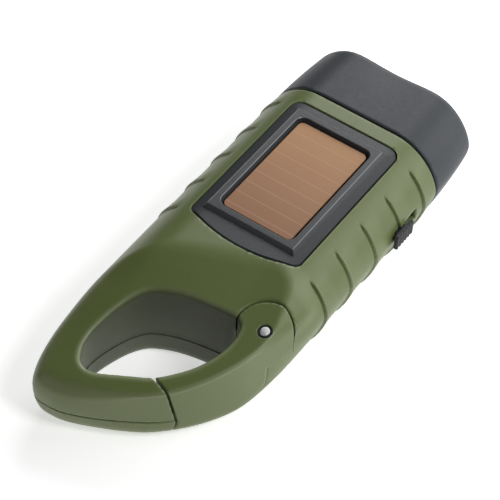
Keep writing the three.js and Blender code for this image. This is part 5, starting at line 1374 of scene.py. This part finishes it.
class FLASHLIGHT_OT_screws(bpy.types.Operator):
    """Make the case screws"""

    bl_idname = "flashlight.screws"
    bl_label = "Case screws"

    def execute(self, context):
        unit = mesh_to_object("screw_unit", screw_mesh())
        points = bpy.data.meshes.new("screw_points")
        points.from_pydata([(x * MM, (y + MIDDLE_Y) * MM, 0.8 * MM) for x, y in SCREWS], [], [])
        screws = run_tree("case_screws_skin", points, points_tree("Screws on points"), {
            "Part": unit, "Material": paint("steel"), "Size": 1.0,
        }, paint("steel"), "housing", 30)
        bpy.data.objects.remove(unit)
        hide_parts("case_screw_1", "case_screw_2", "case_screw_3", "case_screw_4")
        return {"FINISHED"}


KEPT = {
    "steel": ["handle_pin", "crank_shaft", "grip_screw", "first_axle", "second_axle",
              "plate_screw_1", "plate_screw_2", "plate_screw_3", "rotor"],
    "sheet": ["crank_clip", "gear_plate", "generator_can", "battery", "switch_housing"],
    "brass": ["crank_bush", "rotor_pinion", "battery_contact"],
    "copper": ["stator_coil"],
    "acetal": ["crank_gear", "first_gear", "second_gear"],
    "board": ["led_board", "main_board"],
    "foam": ["cell_pad"],
    "rubber": ["head_gasket"],
    "charcoal": ["battery_holder"],
}


class FLASHLIGHT_OT_inner_parts(bpy.types.Operator):
    """Give the gears, boards, generator and battery their finishes"""

    bl_idname = "flashlight.inner_parts"
    bl_label = "Inner parts"

    def execute(self, context):
        for key, names in KEPT.items():
            for name in names:
                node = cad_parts[name]
                node.data.materials.clear()
                node.data.materials.append(paint(key))
        return {"FINISHED"}


def area_light(name, place, size, power):
    """Soft square light aimed at the object's middle."""
    lamp = bpy.data.lights.new(name, "AREA")
    lamp.energy, lamp.size = power, size
    made = bpy.data.objects.new(name, lamp)
    made.location = place
    aim = Vector(LIGHT_TARGET) - Vector(place)
    made.rotation_euler = aim.to_track_quat("-Z", "Y").to_euler()
    bpy.context.scene.collection.objects.link(made)


class FLASHLIGHT_OT_stage(bpy.types.Operator):
    """Set the pale floor, the soft lights and the camera"""

    bl_idname = "flashlight.stage"
    bl_label = "Stage"

    def execute(self, context):
        settings = context.scene.flashlight_stage
        floor = bpy.data.meshes.new("floor")
        corners = [(x * FLOOR_HALF, y * FLOOR_HALF, FLOOR_Z * MM)
                   for x, y in ((-1, -1), (1, -1), (1, 1), (-1, 1))]
        floor.from_pydata(corners, [], [(0, 1, 2, 3)])
        ground = mesh_to_object("floor", floor)
        material, tree, shader, place = surface("Opal light table", {
            "Roughness": 0.9, "Emission Color": (1, 1, 1, 1), "Emission Strength": settings.glow})
        tone = srgb_hex(settings.floor)
        tree.links.new(drift(tree, place, 60, tone, tone), shader.inputs["Base Color"])
        floor.materials.append(material)
        context.scene.view_settings.view_transform = "Standard"
        world = context.scene.world or bpy.data.worlds.new("World")
        context.scene.world = world
        world.use_nodes = True
        sky = world.node_tree.nodes["Background"]
        way = add_node(world.node_tree, "ShaderNodeTexCoord")
        rise = add_node(world.node_tree, "ShaderNodeSeparateXYZ",
                        links={"Vector": way.outputs["Generated"]})
        upward = add_node(world.node_tree, "ShaderNodeMapRange", {
            "From Min": 0.0, "From Max": 0.85, "To Min": 0.6, "To Max": 0.34},
            {"Value": rise.outputs["Z"]})
        side = add_node(world.node_tree, "ShaderNodeMapRange", {
            "From Min": -0.5, "From Max": 0.4, "To Min": 0.12}, {"Value": rise.outputs["X"]})
        both = add_node(world.node_tree, "ShaderNodeMath", links={
            0: upward.outputs[0], 1: side.outputs[0]}, operation="MULTIPLY")
        world.node_tree.links.new(both.outputs[0], sky.inputs["Strength"])
        for name, (place, size) in LIGHTS.items():
            area_light(name, place, size, getattr(settings, name))
        camera = bpy.data.cameras.new("camera")
        camera.lens, camera.sensor_width = CAMERA_LENS, 36
        camera.clip_start, camera.clip_end = 0.01, 20
        made = bpy.data.objects.new("camera", camera)
        turn = Matrix((CAMERA_RIGHT, CAMERA_UP, CAMERA_BACK)).transposed().to_4x4()
        made.matrix_world = Matrix.Translation(CAMERA_PLACE) @ turn
        context.scene.collection.objects.link(made)
        context.scene.camera = made
        return {"FINISHED"}


STEPS = (
    FLASHLIGHT_OT_stage, FLASHLIGHT_OT_shells, FLASHLIGHT_OT_gate, FLASHLIGHT_OT_head,
    FLASHLIGHT_OT_solar, FLASHLIGHT_OT_switch, FLASHLIGHT_OT_crank, FLASHLIGHT_OT_screws,
    FLASHLIGHT_OT_inner_parts,
)


class FLASHLIGHT_PT_panel(bpy.types.Panel):
    """Lists the settings and the pieces"""

    bl_idname = "FLASHLIGHT_PT_panel"
    bl_label = "Flashlight"
    bl_space_type = "VIEW_3D"
    bl_region_type = "UI"
    bl_category = "Flashlight"

    def draw(self, context):
        scene = context.scene
        for group in (scene.flashlight_housing, scene.flashlight_head, scene.flashlight_crank,
                      scene.flashlight_stage):
            for key in group.__annotations__:
                self.layout.prop(group, key)
        for step in STEPS:
            self.layout.operator(step.bl_idname)


GROUPS = {
    "flashlight_housing": HousingSettings,
    "flashlight_head": HeadSettings,
    "flashlight_crank": CrankSettings,
    "flashlight_stage": StageSettings,
}


def register():
    for name, group in GROUPS.items():
        bpy.utils.register_class(group)
        setattr(bpy.types.Scene, name, PointerProperty(type=group))
    for step in STEPS:
        bpy.utils.register_class(step)
    bpy.utils.register_class(FLASHLIGHT_PT_panel)


def unregister():
    bpy.utils.unregister_class(FLASHLIGHT_PT_panel)
    for step in reversed(STEPS):
        bpy.utils.unregister_class(step)
    for name, group in GROUPS.items():
        delattr(bpy.types.Scene, name)
        bpy.utils.unregister_class(group)


def main():
    """Makes every piece in order."""
    register()
    for step in STEPS:
        group, name = step.bl_idname.split(".")
        getattr(getattr(bpy.ops, group), name)()


if __name__ == "__main__":
    main()
